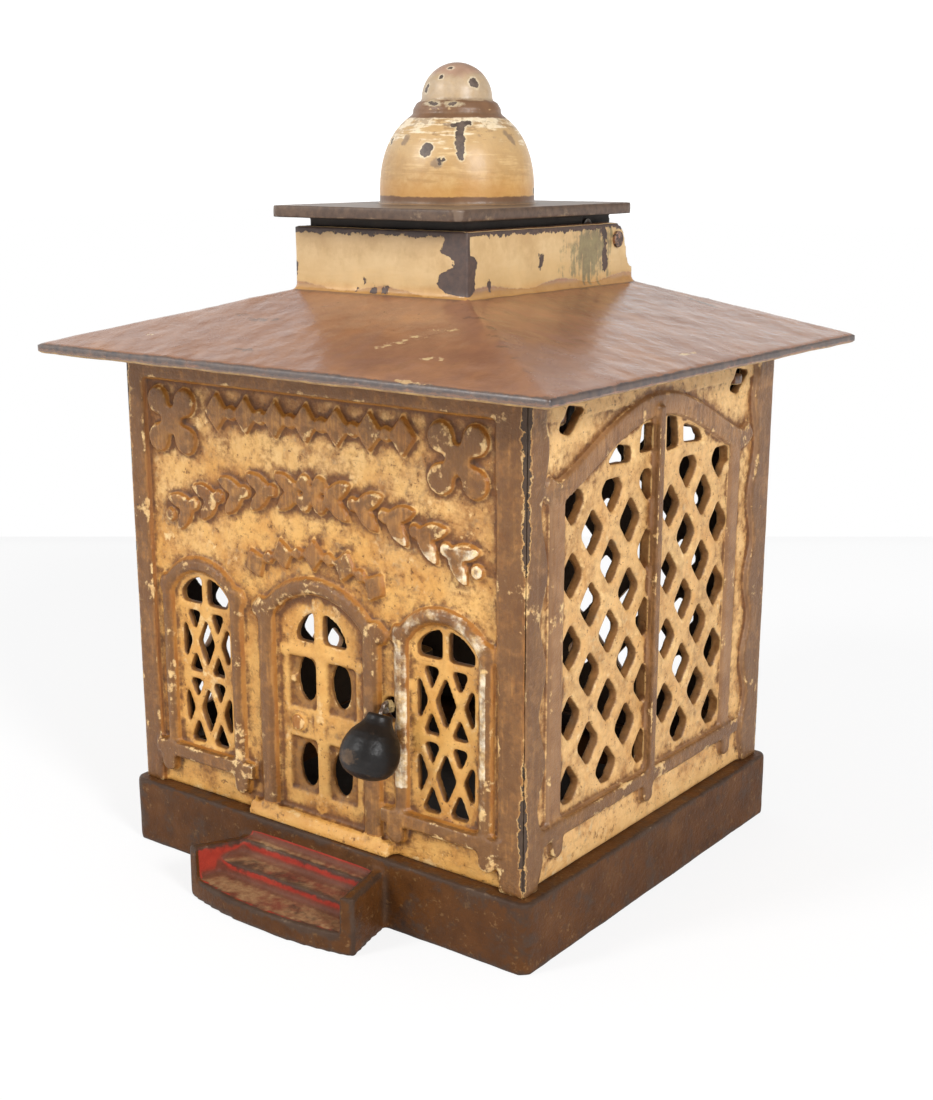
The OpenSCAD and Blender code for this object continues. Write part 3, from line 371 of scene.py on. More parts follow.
def trim(first, second, post_first, post_second, rub):
    """The coats of the raised lines and of the posts, and how far their edges are rubbed."""
    return [
        coat(first, second, (0.15, 0.29), "relief", blend="blot2", rough=0.33, grit2=0.3, blot1=0.14),
        coat(post_first, post_second, (0.2, 0.5), "post", blend="run2", rough=0.38, grit2=0.4),
        coat("#b98a50", "#a3733c", (0.6, 1.0), "trimmed", share=0.5, blend="grit2", cloud3=0.9, blot1=0.9,
             grit1=0.4),
        coat("#5c3a1f", "#45301f", (0.72, 1.05), "trimmed", share=0.6, blot3=1.3, grit3=0.9),
        coat("#5a3a20", "#704a2b", (0.7, 0.98), "trimmed", share=0.5, run1=1.6, grit1=0.3),
        coat("#e9c78c", "#cda066", (0.08, 0.14), "edge", share=rub, blend="grit2", sink=0.02, grit1=0.3,
             blot3=0.6),
        # Pale cream along the crests: worn paint with painted glints
        coat("#f6ead0", "#dfb97c", (-0.03, 0.08), "worn_glint_crest", share=0.9, blend="grit1", sink=0.03, grit3=0.12,
             blot2=0.5),
    ]


front_coats = field("#d7a55c", "#c58c43", 1.0, 0.75) + RECESS
front_coats += trim("#965e26", "#a87334", "#9b652e", "#7c4c22", 0.9) + WORN_OUT
front_enamel = painted("old_enamel_front", front_coats, 0.44, (0.08, 0.2), specular=0.34)
side_coats = field("#e0b67a", "#cd9b5e", 0.9, 0.9) + RECESS
side_coats += trim("#97704b", "#7e5837", "#93704f", "#7d5a3d", 0.85) + WORN_OUT
side_enamel = painted("old_enamel_sides", side_coats, 0.44, (0.08, 0.2), specular=0.36)

# How far the near corner is rubbed bare at six heights, and how far the other corners are
RUB_HEIGHTS = (13, 27, 33, 58, 66, 88)
NEAR_RUB = (0.62, 0.62, -0.1, -0.1, 0.7, 0.7)
OTHER_RUB = 0.3
# Which way along its wall the near corner lies
NEAR_SIDE = {"front_wall": 1, "right_wall": -1}


def wall(node, outward, face, grid):
    """A wall casting with its coats' attributes; outward is the way it faces, face its distance out."""
    piece = casting(node, "root", grid, rounds=3)
    place, normal = store_form(piece)
    outward = np.array(outward, float)
    along = place @ np.abs(np.cross(outward, (0, 0, 1)))
    relief = place @ outward - (face - FIELD)
    z = place[:, 2]
    half = WALL_X if face == WALL_Y else WALL_Y
    facing = normal @ outward
    is_front = node == "front_wall"
    if is_front:
        post = np.clip((np.abs(along) - POST + 0.4) / 0.8, 0, 1) * np.clip(relief / 0.5, 0, 1)
        # The door's sill keeps the field's colour, and the band under the eaves takes the trim's
        door_sill = (np.abs(along - 0.5) < 16) & (z < 14.6)
        relief = np.where(door_sill, np.minimum(relief, 0.1), relief)
        relief = relief + np.clip((z - 83.0) / 0.5, 0, 1) * 0.2
    else:
        post = np.clip((np.abs(along) - SIDE_POST) / 0.8, 0, 1) * np.clip((relief - 0.1) / 0.5, 0, 1)
        # Less of the trim's colour shows under the eaves
        relief = np.where(z > 80, relief - 0.12, relief)
    store(piece, "relief", np.where(facing > -0.6, relief, -1.0))
    store(piece, "post", post)
    store(piece, "trimmed", np.clip(relief, 0, 1))
    store(piece, "height", z)
    near = along * NEAR_SIDE.get(node, 0) > 0
    rub = np.where(near, np.interp(z, RUB_HEIGHTS, NEAR_RUB), OTHER_RUB)
    store(piece, "corner", rub - (half - np.abs(along)) - np.clip(-relief, 0, 1))
    # Low down, less soil and painted shade lies in the strips between the frames
    clean_strip = (z < (60 if is_front else 24)) & (facing > 0.5) & (relief > -0.15)
    for name, share in (("grime", 0.35), ("hollow", 0.6)):
        soil_and_shade = stored(piece, name)
        soil_and_shade[clean_strip] *= share
        piece.data.attributes[name].data.foreach_set("value", soil_and_shade)
    # The right window's frame is worn the most and gets the most painted glints on its crests
    right_window = is_front & (along > 16.5) & (along < 34) & (z > 24) & (z < 64)
    worn_glint_crest = stored(piece, "edge") - np.where(right_window, 0.02, 0.17)
    store(piece, "worn_glint_crest", np.where((relief > 0.45) & (post < 0.5) & (z < 70), worn_glint_crest, -1))
    recess = np.clip((-relief - 0.1) / 0.6, 0, 1)
    if not is_front:
        recess = np.where((np.abs(along) < 28) & (z > 20) & (z < 80), 0.32, 0)
    store(piece, "recess", np.where(facing > 0.5, recess, 0))
    store(piece, "inward", -facing)
    # Sides of the holes and recesses, which get painted shade with soil
    deep = np.clip((0.05 - relief) / 0.3, 0, 1)
    store(piece, "across", np.where(facing > -0.4, (1 - np.abs(facing)) * deep, 0))
    finish_with(piece, front_enamel if is_front else side_enamel)


wall("front_wall", (0, -1, 0), WALL_Y, 0.38)
wall("right_wall", (1, 0, 0), WALL_X, 0.36)
wall("left_wall", (-1, 0, 0), WALL_X, 0.38)
wall("back_wall", (0, 1, 0), WALL_Y, 0.38)

# Roof with its collar

# The same enamel in brown, thinner and shinier where hands polish the slopes, with pinkish patches of painted
# sheen, grey at the eaves' rim
BARE_INSIDE = coat("#2b231e", "#3a2f28", (0.4, 0.6), "inside", rough=0.75)
roof_enamel = painted("old_enamel_roof", [
    coat("#98694a", "#885c42"),
    coat("#a87246", "#9b6a45", (0.0, 0.2), share=0.75, cloud1=1.0, blot2=0.35),
    # Pinkish grey patches: a painted sheen of the bright room on the slopes
    coat("#a58474", "#967263", (0.04, 0.26), share=0.6, rough=0.42, cloud3=1.0, blot1=0.3),
    coat("#5e4230", "#4c372a", (0.18, 0.3), share=0.55, rough=0.55, blot3=1.0, grit1=0.5),
    coat("#6d4a34", "#553a2b", (0.2, 0.3), share=0.6, sink=0.01, grit2=0.9, grain1=0.5, cloud2=0.5),
    coat("#c99f70", "#b1845a", (0.24, 0.32), share=0.7, sink=0.02, grit3=0.9, blot1=0.5, grain1=0.3),
    coat("#6a4f3a", "#5a4433", (0.02, 0.16), "hollow", share=0.7, grit2=0.2),
    coat("#4b4038", "#5d5048", (0.03, 0.09), "edge", share=0.7, grit1=0.1, blot2=0.1),
    coat("#dcc291", "#c29a67", (0.0, 0.3), "scratch", share=0.85, sink=0.03, grit2=2.6, blot3=1.0),
    coat("#4d3c30", "#5f4a3a", (0.0, 0.6), "stain", share=0.6, grit1=2.6, blot2=2.0),
    coat("#3a3130", "#5c4a3f", (0.0, 0.3), "rim", blend="grit2", rough=0.4, grit3=0.9, blot2=0.4),
    coat("#b8935a", "#8c6840", (0.35, 0.6), "under", blend="grit1", rough=0.6, grit2=0.5, blot1=0.5),
    coat("#d0ac74", "#c09b62", (0.25, 0.6), "collar", rough=0.5, grit1=0.7, blot2=0.6),
    coat("#d6b886", "#c9a671", (1.0, 4.0), "collar", share=0.7, blot1=9.0, brush2=4.0, cloud1=4.0),
    coat("#c39c66", "#a88250", (4.6, 7.6), "collar", share=0.35, blot3=12.0, grit2=9.0, run1=4.0),
    coat("#cd9a55", "#b9853f", (0.0, 1.6), "collar_low", share=0.65, blot1=2.5),
    coat("#6f6c46", "#4b4732", (0.2, 2.0), "verdigris", share=0.75, blend="grit1", run2=8.0, grit2=5.0,
         blot1=5.0),
    coat("#3b2922", "#523a2d", (0.0, 0.14), "bare", blend="grit1", rough=0.6, sink=0.08, grit2=2.4, blot3=1.5,
         grain3=0.6),
    coat("#4a3529", "#33251e", (0.24, 0.27), share=0.85, sink=0.03, grit1=0.8, blot3=0.5, grain3=0.25),
    BARE_INSIDE,
], 0.22, (0.02, 0.05), specular=0.9)

roof = casting("roof", "root", 0.5, wave=0.25, rounds=2)
place, normal = store_form(roof)
x, y, z = place.T
outer = (np.abs(x) > COLLAR_X - 1.2) | (y < COLLAR_FRONT + 1.2)
on_collar = (np.abs(x) < COLLAR_X + 0.6) & (y > COLLAR_FRONT - 0.6) & outer & (normal[:, 2] < 0.85)
# The collar's cream ends in a wavering line a little above the slope
paint_line = COLLAR_FOOT + 0.35 + 0.5 * (np.sin(x * 0.35 + 1) + np.sin(y * 0.31))
store(roof, "collar", np.where(on_collar, z - paint_line, -2))
store(roof, "collar_low", np.where(on_collar, COLLAR_FOOT + 2.0 - z, -2))
# How far the bare iron reaches from the near corner at each height, on the front and on the side
front_reach = np.interp(z, (97.6, 98.2, 99.3, 101, 102.2, 103.5, 104.2, 104.9, 106.4, 107.5),
                        (2.0, 3.6, 5.7, 5.3, 2.7, 2.5, 4.6, 5.2, 4.1, 4.7))
side_reach = np.interp(z, (98, 99.5, 100.8, 102.5, 103.9, 104.4, 106.4, 107.5),
                       (1.6, 2.5, 2.2, 2.5, 2.1, 0.2, 0.4, 0.1))
bare = np.where(y < COLLAR_FRONT + 0.8, front_reach - (COLLAR_X - x), side_reach - (y - COLLAR_FRONT))
bare = np.where(x < 0, -3, bare)
bare = np.where(z < COLLAR_FOOT + 0.6, -2, bare)
bare = np.maximum(bare, (z - COLLAR_TOP + 1.0) * 1.1)
bare = np.maximum(bare, patches(place, [
    (-2.6, -20.7, 99.6, 0.5, 1, 0.7), (-0.7, -20.7, 98.3, 0.5, 1, 0.8), (1.6, -20.7, 98.4, 0.7, 1, 0.9),
    (-4.2, -20.7, 98.2, 0.8, 1, 0.4), (-17.4, -20.7, 101, 0.6, 1, 0.9), (17.5, -0.4, 102.3, 1, 0.7, 1.3),
    (17.5, -15, 99.4, 1, 0.5, 0.9), (17.5, 18, 106, 1, 1.1, 1.5), (17.5, 18.6, 102, 1, 0.9, 2.6),
    (17.5, 22, 105, 1, 0.7, 0.7), (-17.5, -16, 103, 1, 2.2, 2.6), (-17.5, 6, 99.5, 1, 1.6, 1.1)]))
store(roof, "bare", np.where(on_collar, bare, -5))
green = patches(place, [(17.5, 13.5, 103.4, 3, 8.5, 6)])
store(roof, "verdigris", np.where(on_collar & (x > 0), green, -5))
rim = np.maximum(np.abs(x) - EAVES_RIM[0], np.abs(y) - EAVES_RIM[1])
store(roof, "rim", rim + np.clip(-normal[:, 2], 0, 1) * -1.5)
store(roof, "under", np.where(z < EAVE + 9, -normal[:, 2], -1))
store(roof, "scratch", patches(place, [
    (14.9, -38, 91.9, 1.2, 0.5, 2), (15.9, -37.2, 92.1, 1.2, 0.5, 2), (16.7, -36.3, 92.4, 1.1, 0.5, 2),
    (17.6, -35.2, 92.8, 0.9, 0.5, 2), (18.5, -33.9, 93.2, 1.5, 0.45, 2), (19.8, -33, 93.5, 1.3, 0.4, 2),
    (21.6, -31.2, 94.1, 1.7, 0.4, 2), (23, -30.6, 94.4, 1.0, 0.35, 2), (25.4, -40.3, 91.1, 1.1, 0.45, 2),
    (26.6, -39.9, 91.2, 1.0, 0.4, 2), (27.3, -47.2, 88.9, 2.5, 0.4, 1), (46.5, -3.8, 89.9, 0.5, 2, 2),
    (-30, -41, 90.9, 2.0, 0.4, 2), (-12, 38, 92, 3, 0.6, 2), (-44, 10, 90.5, 0.5, 3, 2)]))
store(roof, "stain", patches(place, [
    (-13.5, -32.6, 93.6, 4, 0.8, 2), (-18.5, -31.5, 94, 2.6, 0.6, 2), (-8.5, -42.8, 90.3, 3.5, 0.6, 2),
    (25, -26.5, 95.6, 2.6, 0.7, 2), (28, -28.8, 94.9, 2.0, 0.7, 2), (31, -31.6, 93.9, 1.8, 0.6, 2),
    (34.5, -34.6, 92.8, 1.8, 0.6, 2), (38.5, -37.6, 92, 1.6, 0.6, 2), (22.9, -2.5, 96.1, 0.6, 3.2, 2),
    (30, 30, 94, 4, 1, 2), (-33, 20, 93.4, 1, 4, 2)]))
# Inside the collar, and under the slopes inside the walls
inner = (np.abs(x) < COLLAR_X - 1.1) & (y > COLLAR_FRONT + 1.1) & (z > COLLAR_FOOT - 1.2)
inner |= (np.abs(x) < 38) & (np.abs(y) < 35) & (normal[:, 2] < 0.3) & (z < COLLAR_FOOT - 0.3)
store(roof, "inside", inner.astype(float))
finish_with(roof, roof_enamel)

# Lid with its dome

# Cream enamel over iron, turned golden near the foot, chipped to the dark skin of the casting
lid_enamel = painted("old_enamel_lid", [
    coat("#75604e", "#665242"),
    coat("#8b7a6c", "#7d6a5a", (0.02, 0.25), share=0.6, cloud3=1.0, blot1=0.4),
    coat("#4a382c", "#624c3b", (0.0, 0.3), "rim", blend="grit1", rough=0.4, grit3=0.8),
    coat("#8f7a66", "#a68c6c", (0.95, 1.4), "rim", share=0.7, grit2=1.6, blot1=1.8),
    coat("#c8a26c", "#ba8f57", (0.1, 0.3), "dome", blend="grit2", rough=0.4),
    coat("#dec69c", "#cfb081", (4.5, 10.5), "dome", share=0.85, blot1=9.0, cloud2=8.0),
    coat("#a37d4c", "#b48c55", (3.0, 7.0), "dome", share=0.6, blend="grit1", brush1=24.0, blot2=8.0),
    coat("#f0e4cc", "#e4d2b0", (11.0, 13.0), "dome", share=0.7, blend="grit3", brush3=16.0, blot3=12.0),
    coat("#7a5a3c", "#92704b", (12.0, 14.0), "dome", share=0.6, blend="grit2", brush2=16.0, grit1=14.0),
    coat("#c48a40", "#cf9a50", (0.0, 3.2), "dome_low", share=0.6, blot2=3.0),
    coat("#a98570", "#8b6a55", (0.0, 1.2), "ball_top", share=0.85, blot3=3.5, grit2=1.5),
    coat("#c09a68", "#a07c50", (0.12, 0.3), share=0.5, blot3=0.7, grit3=0.6),
    coat("#7d5a3d", "#6a4b33", (0.0, 0.25), "ring", rough=0.42, grit1=0.5, blot2=0.5),
    coat("#cfb083", "#a98a5f", (1.5, 1.7), "ring", share=0.8, grit3=1.8, blot1=1.2),
    coat("#8a7258", "#5e4936", (0.03, 0.15), "hollow", share=0.6, grit2=0.2),
    coat("#e7dcc0", "#d9c8a0", (-0.35, 0.0), "chip", share=0.5, grit2=1.1),
    coat("#8d7358", "#796350", (0.0, 0.4), "soft_chip", share=0.8, blend="grit1", grit2=1.4, grain3=0.3),
    coat("#65554a", "#483b33", (0.0, 0.1), "chip", blend="grit1", rough=0.5, sink=0.07, grit2=1.3, grain3=0.3),
    coat("#4a3b31", "#5a4a3d", (0.25, 0.28), share=0.85, sink=0.03, grit1=0.8, blot3=0.55, grain2=0.25),
    # Dark bare iron underneath, and painted shade on the rim in the gap over the collar
    coat("#2c241e", "#3a2f27", (0.4, 0.6), "inside", rough=0.7),
], 0.42, (0.014, 0.04), specular=0.5)

lid = casting("cupola", "cupola", 0.3, wave=0.1, rounds=3)
place, normal = points_of(lid)
# The rim rests on the collar again after the smoothing
rim_foot = (place[:, 2] < COLLAR_TOP + 0.6) & (np.abs(place[:, 0]) > 14)
move_points(lid, place - np.outer(rim_foot, (0, 0, 0.2)))
place, normal = store_form(lid)
x, y, z = place.T
radius = np.hypot(x, y - LID_Y)
on_dome = (radius < DOME_R) & (z > PLATE_TOP + 0.15)
store(lid, "dome", np.where(on_dome, z - PLATE_TOP, -1))
store(lid, "dome_low", np.where(on_dome, PLATE_TOP + 5 - z, -1))
store(lid, "ball_top", np.where(on_dome, z - BALL_CROWN, -9))
foot_ring = 0.75 - np.abs(z - PLATE_TOP - 0.75)
neck_ring = 1.5 - np.abs(z - DOME_RING - 0.5)
store(lid, "ring", np.where(on_dome, np.maximum(foot_ring, neck_ring), -1))
rim = np.maximum(np.abs(x) - LID_RIM[0], np.abs(y - LID_Y) - LID_RIM[1])
store(lid, "rim", np.where(z < PLATE_TOP + 0.3, rim * 2 + 0.2 + np.clip(-normal[:, 2], 0, 1), -3))
store(lid, "chip", np.where(on_dome, patches(place, [
    (5.2, -7.7, 123.4, 0.55), (5.8, -7.2, 123.5, 0.7), (6.3, -6.7, 123.6, 0.75), (6.8, -6, 123.7, 0.6),
    (6.4, -7.5, 122.8, 0.7), (6.6, -8, 122.1, 0.75), (7, -8.2, 121.4, 0.8), (7.2, -8.6, 120.6, 0.8),
    (7.4, -8.8, 119.9, 0.75), (7.6, -9, 119.2, 0.7), (7.8, -9.1, 118.5, 0.5), (2.5, -11.2, 120, 0.85),
    (2.3, -11.5, 119.2, 0.8), (2.9, -11.4, 119.2, 0.6), (3.1, -11.1, 119.8, 0.55), (-6.4, -8.9, 121.2, 0.5),
    (-6.2, -9.3, 120.7, 0.45), (4.9, -11, 118.1, 0.4), (5.5, -10.7, 118.2, 0.35), (5, -11.1, 117.5, 0.35),
    (4.8, -2, 130, 0.7), (5.1, -1.6, 129.8, 0.65), (4.7, -1.7, 130.5, 0.45), (0.4, -4.6, 130.9, 0.38),
    (1.1, -3, 132.3, 0.42), (-2.1, -4.9, 129.6, 0.4), (-2.4, -5, 128.9, 0.5), (11.5, 5.8, 113.1, 0.6),
    (0, -6.5, 126.8, 1.2, 0.6, 0.35), (3.5, -5.5, 126.7, 1, 0.8, 0.35), (-7.5, 7, 121.5, 1.5),
    (-9.5, 7.5, 116, 1.4), (3, 10.8, 119, 1.5), (6.8, 9, 121.5, 1.1)]), -9))
store(lid, "soft_chip", np.where(on_dome, patches(place, [
    (4, -8.3, 123.6, 0.6), (4.6, -8, 123.5, 0.7), (2.1, -8.8, 123.75, 0.6, 0.6, 0.3),
    (-2.1, -10.6, 121.3, 0.9), (-2.4, -10.8, 120.8, 0.8), (10.4, -0.6, 122.1, 0.75),
    (10.8, -0.2, 121.5, 0.95), (11.1, 0.2, 120.9, 0.8), (8.6, -5.3, 122.5, 0.7, 0.7, 0.2),
    (9.1, -5.4, 121.8, 0.9, 0.9, 0.2), (9.3, -3.8, 122.5, 0.5, 0.9, 0.25),
    (10, -3.4, 121.5, 0.5, 0.8, 0.25), (4.6, -11.4, 117.6, 1.1)]), -9))
# Underneath, the rim below the plate, which is painted dark as shade in the gap over the collar, and in the
# dome where the surface faces its middle
under = (normal[:, 2] < -0.5) | (z < PLATE_TOP - 1.8)
from_middle = np.stack([x, y - LID_Y, np.maximum(z - PLATE_TOP - 3, 0)], 1)
faces_in = (from_middle * normal).sum(1) < -0.2 * np.linalg.norm(from_middle, axis=1)
under |= (radius < DOME_R - 0.8) & faces_in
store(lid, "inside", (under & (z < 127)).astype(float))
finish_with(lid, lid_enamel)

# Plinth with the steps

# Dull soiled brown enamel; the steps were painted red and are worn to the primer
plinth_enamel = painted("old_enamel_plinth", [
    coat("#593619", "#4a2c14"),
    coat("#684527", "#59391d", (-0.04, 0.22), share=0.7, cloud1=1.0, blot2=0.35),
    coat("#643b15", "#543113", (0.04, 0.25), share=0.65, cloud2=1.0, blot3=0.5),
    coat("#3f2a1d", "#33231a", (0.1, 0.3), share=0.55, blot1=0.9, grit3=0.6),
    coat("#4a3729", "#3a2b21", (0.06, 0.5), "grime", share=0.7, grit1=0.3),
    coat("#8a6843", "#785834", (0.1, 0.2), share=0.5, sink=0.02, grit2=0.9, grain1=0.5, blot2=0.3),
    coat("#2f2118", "#3d2b1e", (0.2, 0.26), share=0.7, sink=0.03, grit1=0.9, grain3=0.5, blot1=0.3),
    coat("#a63d2e", "#8f3026", (0.0, 0.3), "red", blend="blot2", rough=0.5, grit2=0.6, blot1=0.3),
    coat("#744435", "#5f3727", (0.1, 0.6), "tread", share=0.9, blend="brush2", blot3=1.2, grit1=0.6),
    coat("#a5855f", "#846245", (0.6, 1.2), "tread", share=0.8, blend="grit2", blot1=1.6, brush1=1.6, grit3=0.8),
    coat("#5b3a2c", "#6e4536", (0.02, 0.14), "hollow_red", share=0.8, grit2=0.1),
    coat("#3a2d25", "#4c3c31", (0.0, 0.05), "edge", share=0.85, blot3=0.2, grit1=0.1),
    coat("#a08a74", "#8b745d", (0.1, 0.16), "edge", share=0.6, blot1=0.3, grit2=0.22),
    BARE_INSIDE,
], 0.46, (0.06, 0.16), specular=0.13)

plinth = casting("base_plinth", "root", 0.4, wave=0.2, rounds=8)
place, normal = store_form(plinth)
x, y, z = place.T
# Red lies between the cheeks, which spread outwards, and behind the bowed front edge
reach = -PLINTH_Y - y
cheek = 13.5 + 0.25 * reach
front_edge = 12.2 - 2.0 * (x / 17) ** 2
red = np.minimum(cheek - np.abs(x), np.minimum(front_edge - reach, z - 3.0))
red = np.where((reach > -0.4) & (np.abs(x) < 18) & (z < 9.4), red, -2)
store(plinth, "red", red)
store(plinth, "tread", np.where(red > 0.2, np.clip(normal[:, 2], 0, 1), -1))
store(plinth, "hollow_red", np.where(red > 0.2, stored(plinth, "hollow"), -1))
# Inside the walls, and underneath
within = (np.abs(x) < 37.8) & (np.abs(y) < 34.6)
store(plinth, "inside", (within | (normal[:, 2] < -0.8)).astype(float))
finish_with(plinth, plinth_enamel)

# Pull knob

# Turned bead in black japan, rubbed to a grey bloom with brown spots
knob_enamel = painted("black_japan", [
    coat("#1b1715", "#131110"),
    coat("#272423", "#1f1d1c", (0.0, 0.25), share=0.7, blot2=1.0, grit1=0.5),
    coat("#4a3a2c", "#3a2f26", (0.16, 0.3), share=0.6, blot3=1.0, grit2=0.6),
    coat("#6a523a", "#4e3d2e", (0.0, 0.5), "scuff", share=0.7, blend="grit3", grit1=1.6, grain2=0.8),
    coat("#7d7a78", "#99928a", (0.3, 0.34), share=0.6, grit3=1.0, grain2=0.4),
    coat("#0e0f11", "#161719", (0.03, 0.12), "hollow", share=0.8),
], 0.4, (0.02, 0.09), specular=0.26)
knob = casting("pull_knob", "pull", 0.16, wave=0.12, rounds=4)
place, normal = store_form(knob)
store(knob, "scuff", patches(place, [(15.4, -47.4, 31.6, 2.3, 1.6, 1.3), (18.6, -46.2, 29.4, 0.8, 0.8, 0.7)]))
finish_with(knob, knob_enamel)

# Carrier of the counter and the cashier

# Bare cast iron with a thin brown rust bloom and grease
bare_iron = painted("greasy_cast_iron", [
    coat("#4a4440", "#3b3632"),
    coat("#5d4636", "#6b4c35", (0.06, 0.26), share=0.6, blot2=1.0, grit1=0.5),
    coat("#77716b", "#8a837c", (0.22, 0.3), share=0.5, grit3=1.0, grain2=0.4),
], 0.5, (0.02, 0.06), specular=0.6)
carrier = casting("carrier", "cupola", 0.16, wave=0.05)
finish_with(carrier, bare_iron)
finish_with(NODES["bottom_plate"], bare_iron)

# Turned and headed steel, gone brown, for the pins, rivets and screws
old_steel, tree, place = new_material("browned_steel")
spots = add(tree, "ShaderNodeTexNoise", {"Vector": place, "Scale": 1 / (0.9 * MM), "Detail": 5,
                                         "Roughness": 0.65}).outputs["Fac"]
tint = mixed(tree, ramp(tree, spots, 0.45, 0.62), colour("#8b857e"), colour("#5c4433"))
pits = add(tree, "ShaderNodeBump", {"Height": spots, "Distance": 0.04 * MM, "Strength": 0.8})
steel = add(tree, "ShaderNodeBsdfPrincipled", {"Base Color": tint, "Metallic": 0.75,
                                               "Roughness": ramp(tree, spots, 0.4, 0.65, 0.32, 0.6),
                                               "Normal": pits.outputs[0]})
add(tree, "ShaderNodeOutputMaterial", {"Surface": steel.outputs[0]})
for node in ("base_screws", "guide_pin", "carrier_rivets", "cord_stud", "counter_screws", "cashier_screw"):
    finish_with(NODES[node], old_steel)
# The hinge pin's ends are painted over with the roof
finish_with(NODES["hinge_pin"], roof_enamel)

# Cords

# Three-strand cotton cord, once white, gone brown with handling
cord_cotton = painted("old_cotton_cord", [
    coat("#a48d63", "#8b734b"),
    coat("#6a5234", "#574226", (0.0, 0.25), share=0.7, blot1=1.0, grit2=0.5),
    coat("#cbbb95", "#b8a67f", (0.18, 0.3), share=0.4, grit1=1.0, grain2=0.5),
], 0.85, (0.05, 0.04), specular=0.2)
PULL_WAY = 16.2
# The cord's place across the bank, the guide pin's axis and the cord's turn about it
CORD_X = 13.5
GUIDE = (-16.7, 103.0)
CORD_TURN = 1.3
STUD_REST = np.array((CORD_X, 24.81, 91.8))
HOLE_IN = np.array((15.3, -35.4, 36.4))
EYE = np.array((15.8, -38.9, 37.0))
# How far each strand's middle lies from the cord's, and its radius
STRAND_OUT = 0.22
STRAND_R = 0.235


def route(points, step=0.14, rounds=8):
    """Even points along a line through the given ones, with its corners rounded."""
    points = np.array(points, float)
    way = np.concatenate([[0], np.cumsum(np.linalg.norm(np.diff(points, axis=0), axis=1))])
    at = np.linspace(0, way[-1], int(way[-1] / step) + 2)
    path = np.stack([np.interp(at, way, points[:, k]) for k in range(3)], 1)
    for _ in range(rounds):
        path[1:-1] = 0.25 * path[:-2] + 0.5 * path[1:-1] + 0.25 * path[2:]
    return path


def swept(name, lines, radius):
    """A round-sectioned mesh along each of some lines of points in millimetres."""
    curve = bpy.data.curves.new(name, "CURVE")
    curve.dimensions = "3D"
    curve.bevel_depth = radius * MM
    curve.bevel_resolution = 2
    curve.use_fill_caps = True
    for line in lines:
        spline = curve.splines.new("POLY")
        spline.points.add(len(line) - 1)
        spline.points.foreach_set("co", np.column_stack([line * MM, np.ones(len(line))]).ravel())
    piece = bpy.data.objects.new(name, curve)
    bpy.context.scene.collection.objects.link(piece)
    pick(piece)
    bpy.ops.object.convert(target="MESH")
    piece = bpy.context.object
    smooth_shade(piece)
    return piece


def twisted(name, path, lay=1.9):
    """A cord of three strands laid round each other along a path."""
    along = np.gradient(path, axis=0)
    along /= np.linalg.norm(along, axis=1)[:, None]
    side = np.cross(along[0], (0.3, 0.1, 0.9))
    sides = []
    for direction in along:
        side = side - direction * side.dot(direction)
        side /= np.linalg.norm(side)
        sides.append(side)
    sides = np.array(sides)
    ups = np.cross(along, sides)
    way = np.concatenate([[0], np.cumsum(np.linalg.norm(np.diff(path, axis=0), axis=1))])
    lines = []
    for k in range(3):
        turn = (2 * pi * (way / lay + k / 3))[:, None]
        lines.append(path + STRAND_OUT * (np.cos(turn) * sides + np.sin(turn) * ups))
    piece = swept(name, lines, STRAND_R)
    finish_with(piece, cord_cotton)
    return piece


def over_guide(angle):
    """A point of the cord on the guide pin, by its angle up from the front."""
    angle = radians(angle)
    return (CORD_X, GUIDE[0] - CORD_TURN * cos(angle), GUIDE[1] + CORD_TURN * sin(angle))


# Degrees below level at which the cord leaves the guide pin
fall = np.degrees(np.arctan2(GUIDE[1] - STUD_REST[2], STUD_REST[1] - GUIDE[0]))
rise = [HOLE_IN, (15.3, -34.0, 37.0), (15.2, -33.2, 38.9), (CORD_X, -17.9, 94.5), (CORD_X, -17.9, 95.5)]
bend = [over_guide(angle) for angle in np.arange(0, 90 + fall, 7.5)]
cord_inner = twisted("cord_inner_cotton", route(rise + bend + [over_guide(90 + fall)]))
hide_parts("cord_inner")
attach(cord_inner, "root")

# The stretch from the guide pin down to the stud
anchor = np.array(over_guide(90 + fall))
end = STUD_REST + (0, 0, 1.22)
cord_lift = twisted("cord_lift_cotton", route([anchor, anchor + 0.5 * (end - anchor), end]))
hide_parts("cord_lift")
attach(cord_lift, "root")
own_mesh(cord_lift)

# Hitches round the stud and the wire's eye
turns = np.arange(0, 2.3, 0.03)[:, None] * 2 * pi
hitch = STUD_REST + np.hstack([0.35 - turns * 0.075, -1.2 * np.sin(turns), 1.2 * np.cos(turns)])
stud_hitch = twisted("stud_hitch", route(hitch, rounds=2))
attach(stud_hitch, "cupola")
turns = np.arange(0, 1.9, 0.03)[:, None] * 2 * pi
ring = EYE + (0, 0.7, 0)
hitch = ring + np.hstack([0.62 * np.cos(turns), 0.05 * turns - 0.2, 0.62 * np.sin(turns)])
eye_hitch = twisted("eye_hitch", route(hitch, rounds=2))
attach(eye_hitch, "pull")

# The stretch in the pull hole is laid as if drawn out, then pushed together
start, finish = HOLE_IN + (0, -0.2, 0), HOLE_IN + (0.4, -2.1, 0.5)
out = np.array((0, -PULL_WAY, 0))
drawn_out = [HOLE_IN + (0, 0.2, 0), start, finish + out, EYE + (0, 1.05, 0) + out]
cord_outer = twisted("cord_outer_cotton", route(drawn_out, rounds=2))
place, normal = points_of(cord_outer)
line = finish + out - start
share = np.linspace(0, 1, 801)
bend = share * share * (3 - 2 * share)
drawn = share[:, None] * (finish - start) + bend[:, None] * out
reach = (drawn @ line) / (line @ line)
at = (place - start) @ line / (line @ line)
back = np.interp(np.clip(at, 0, 1), reach, bend)
move_points(cord_outer, place - back[:, None] * out)
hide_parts("cord_outer")
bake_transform(cord_outer)

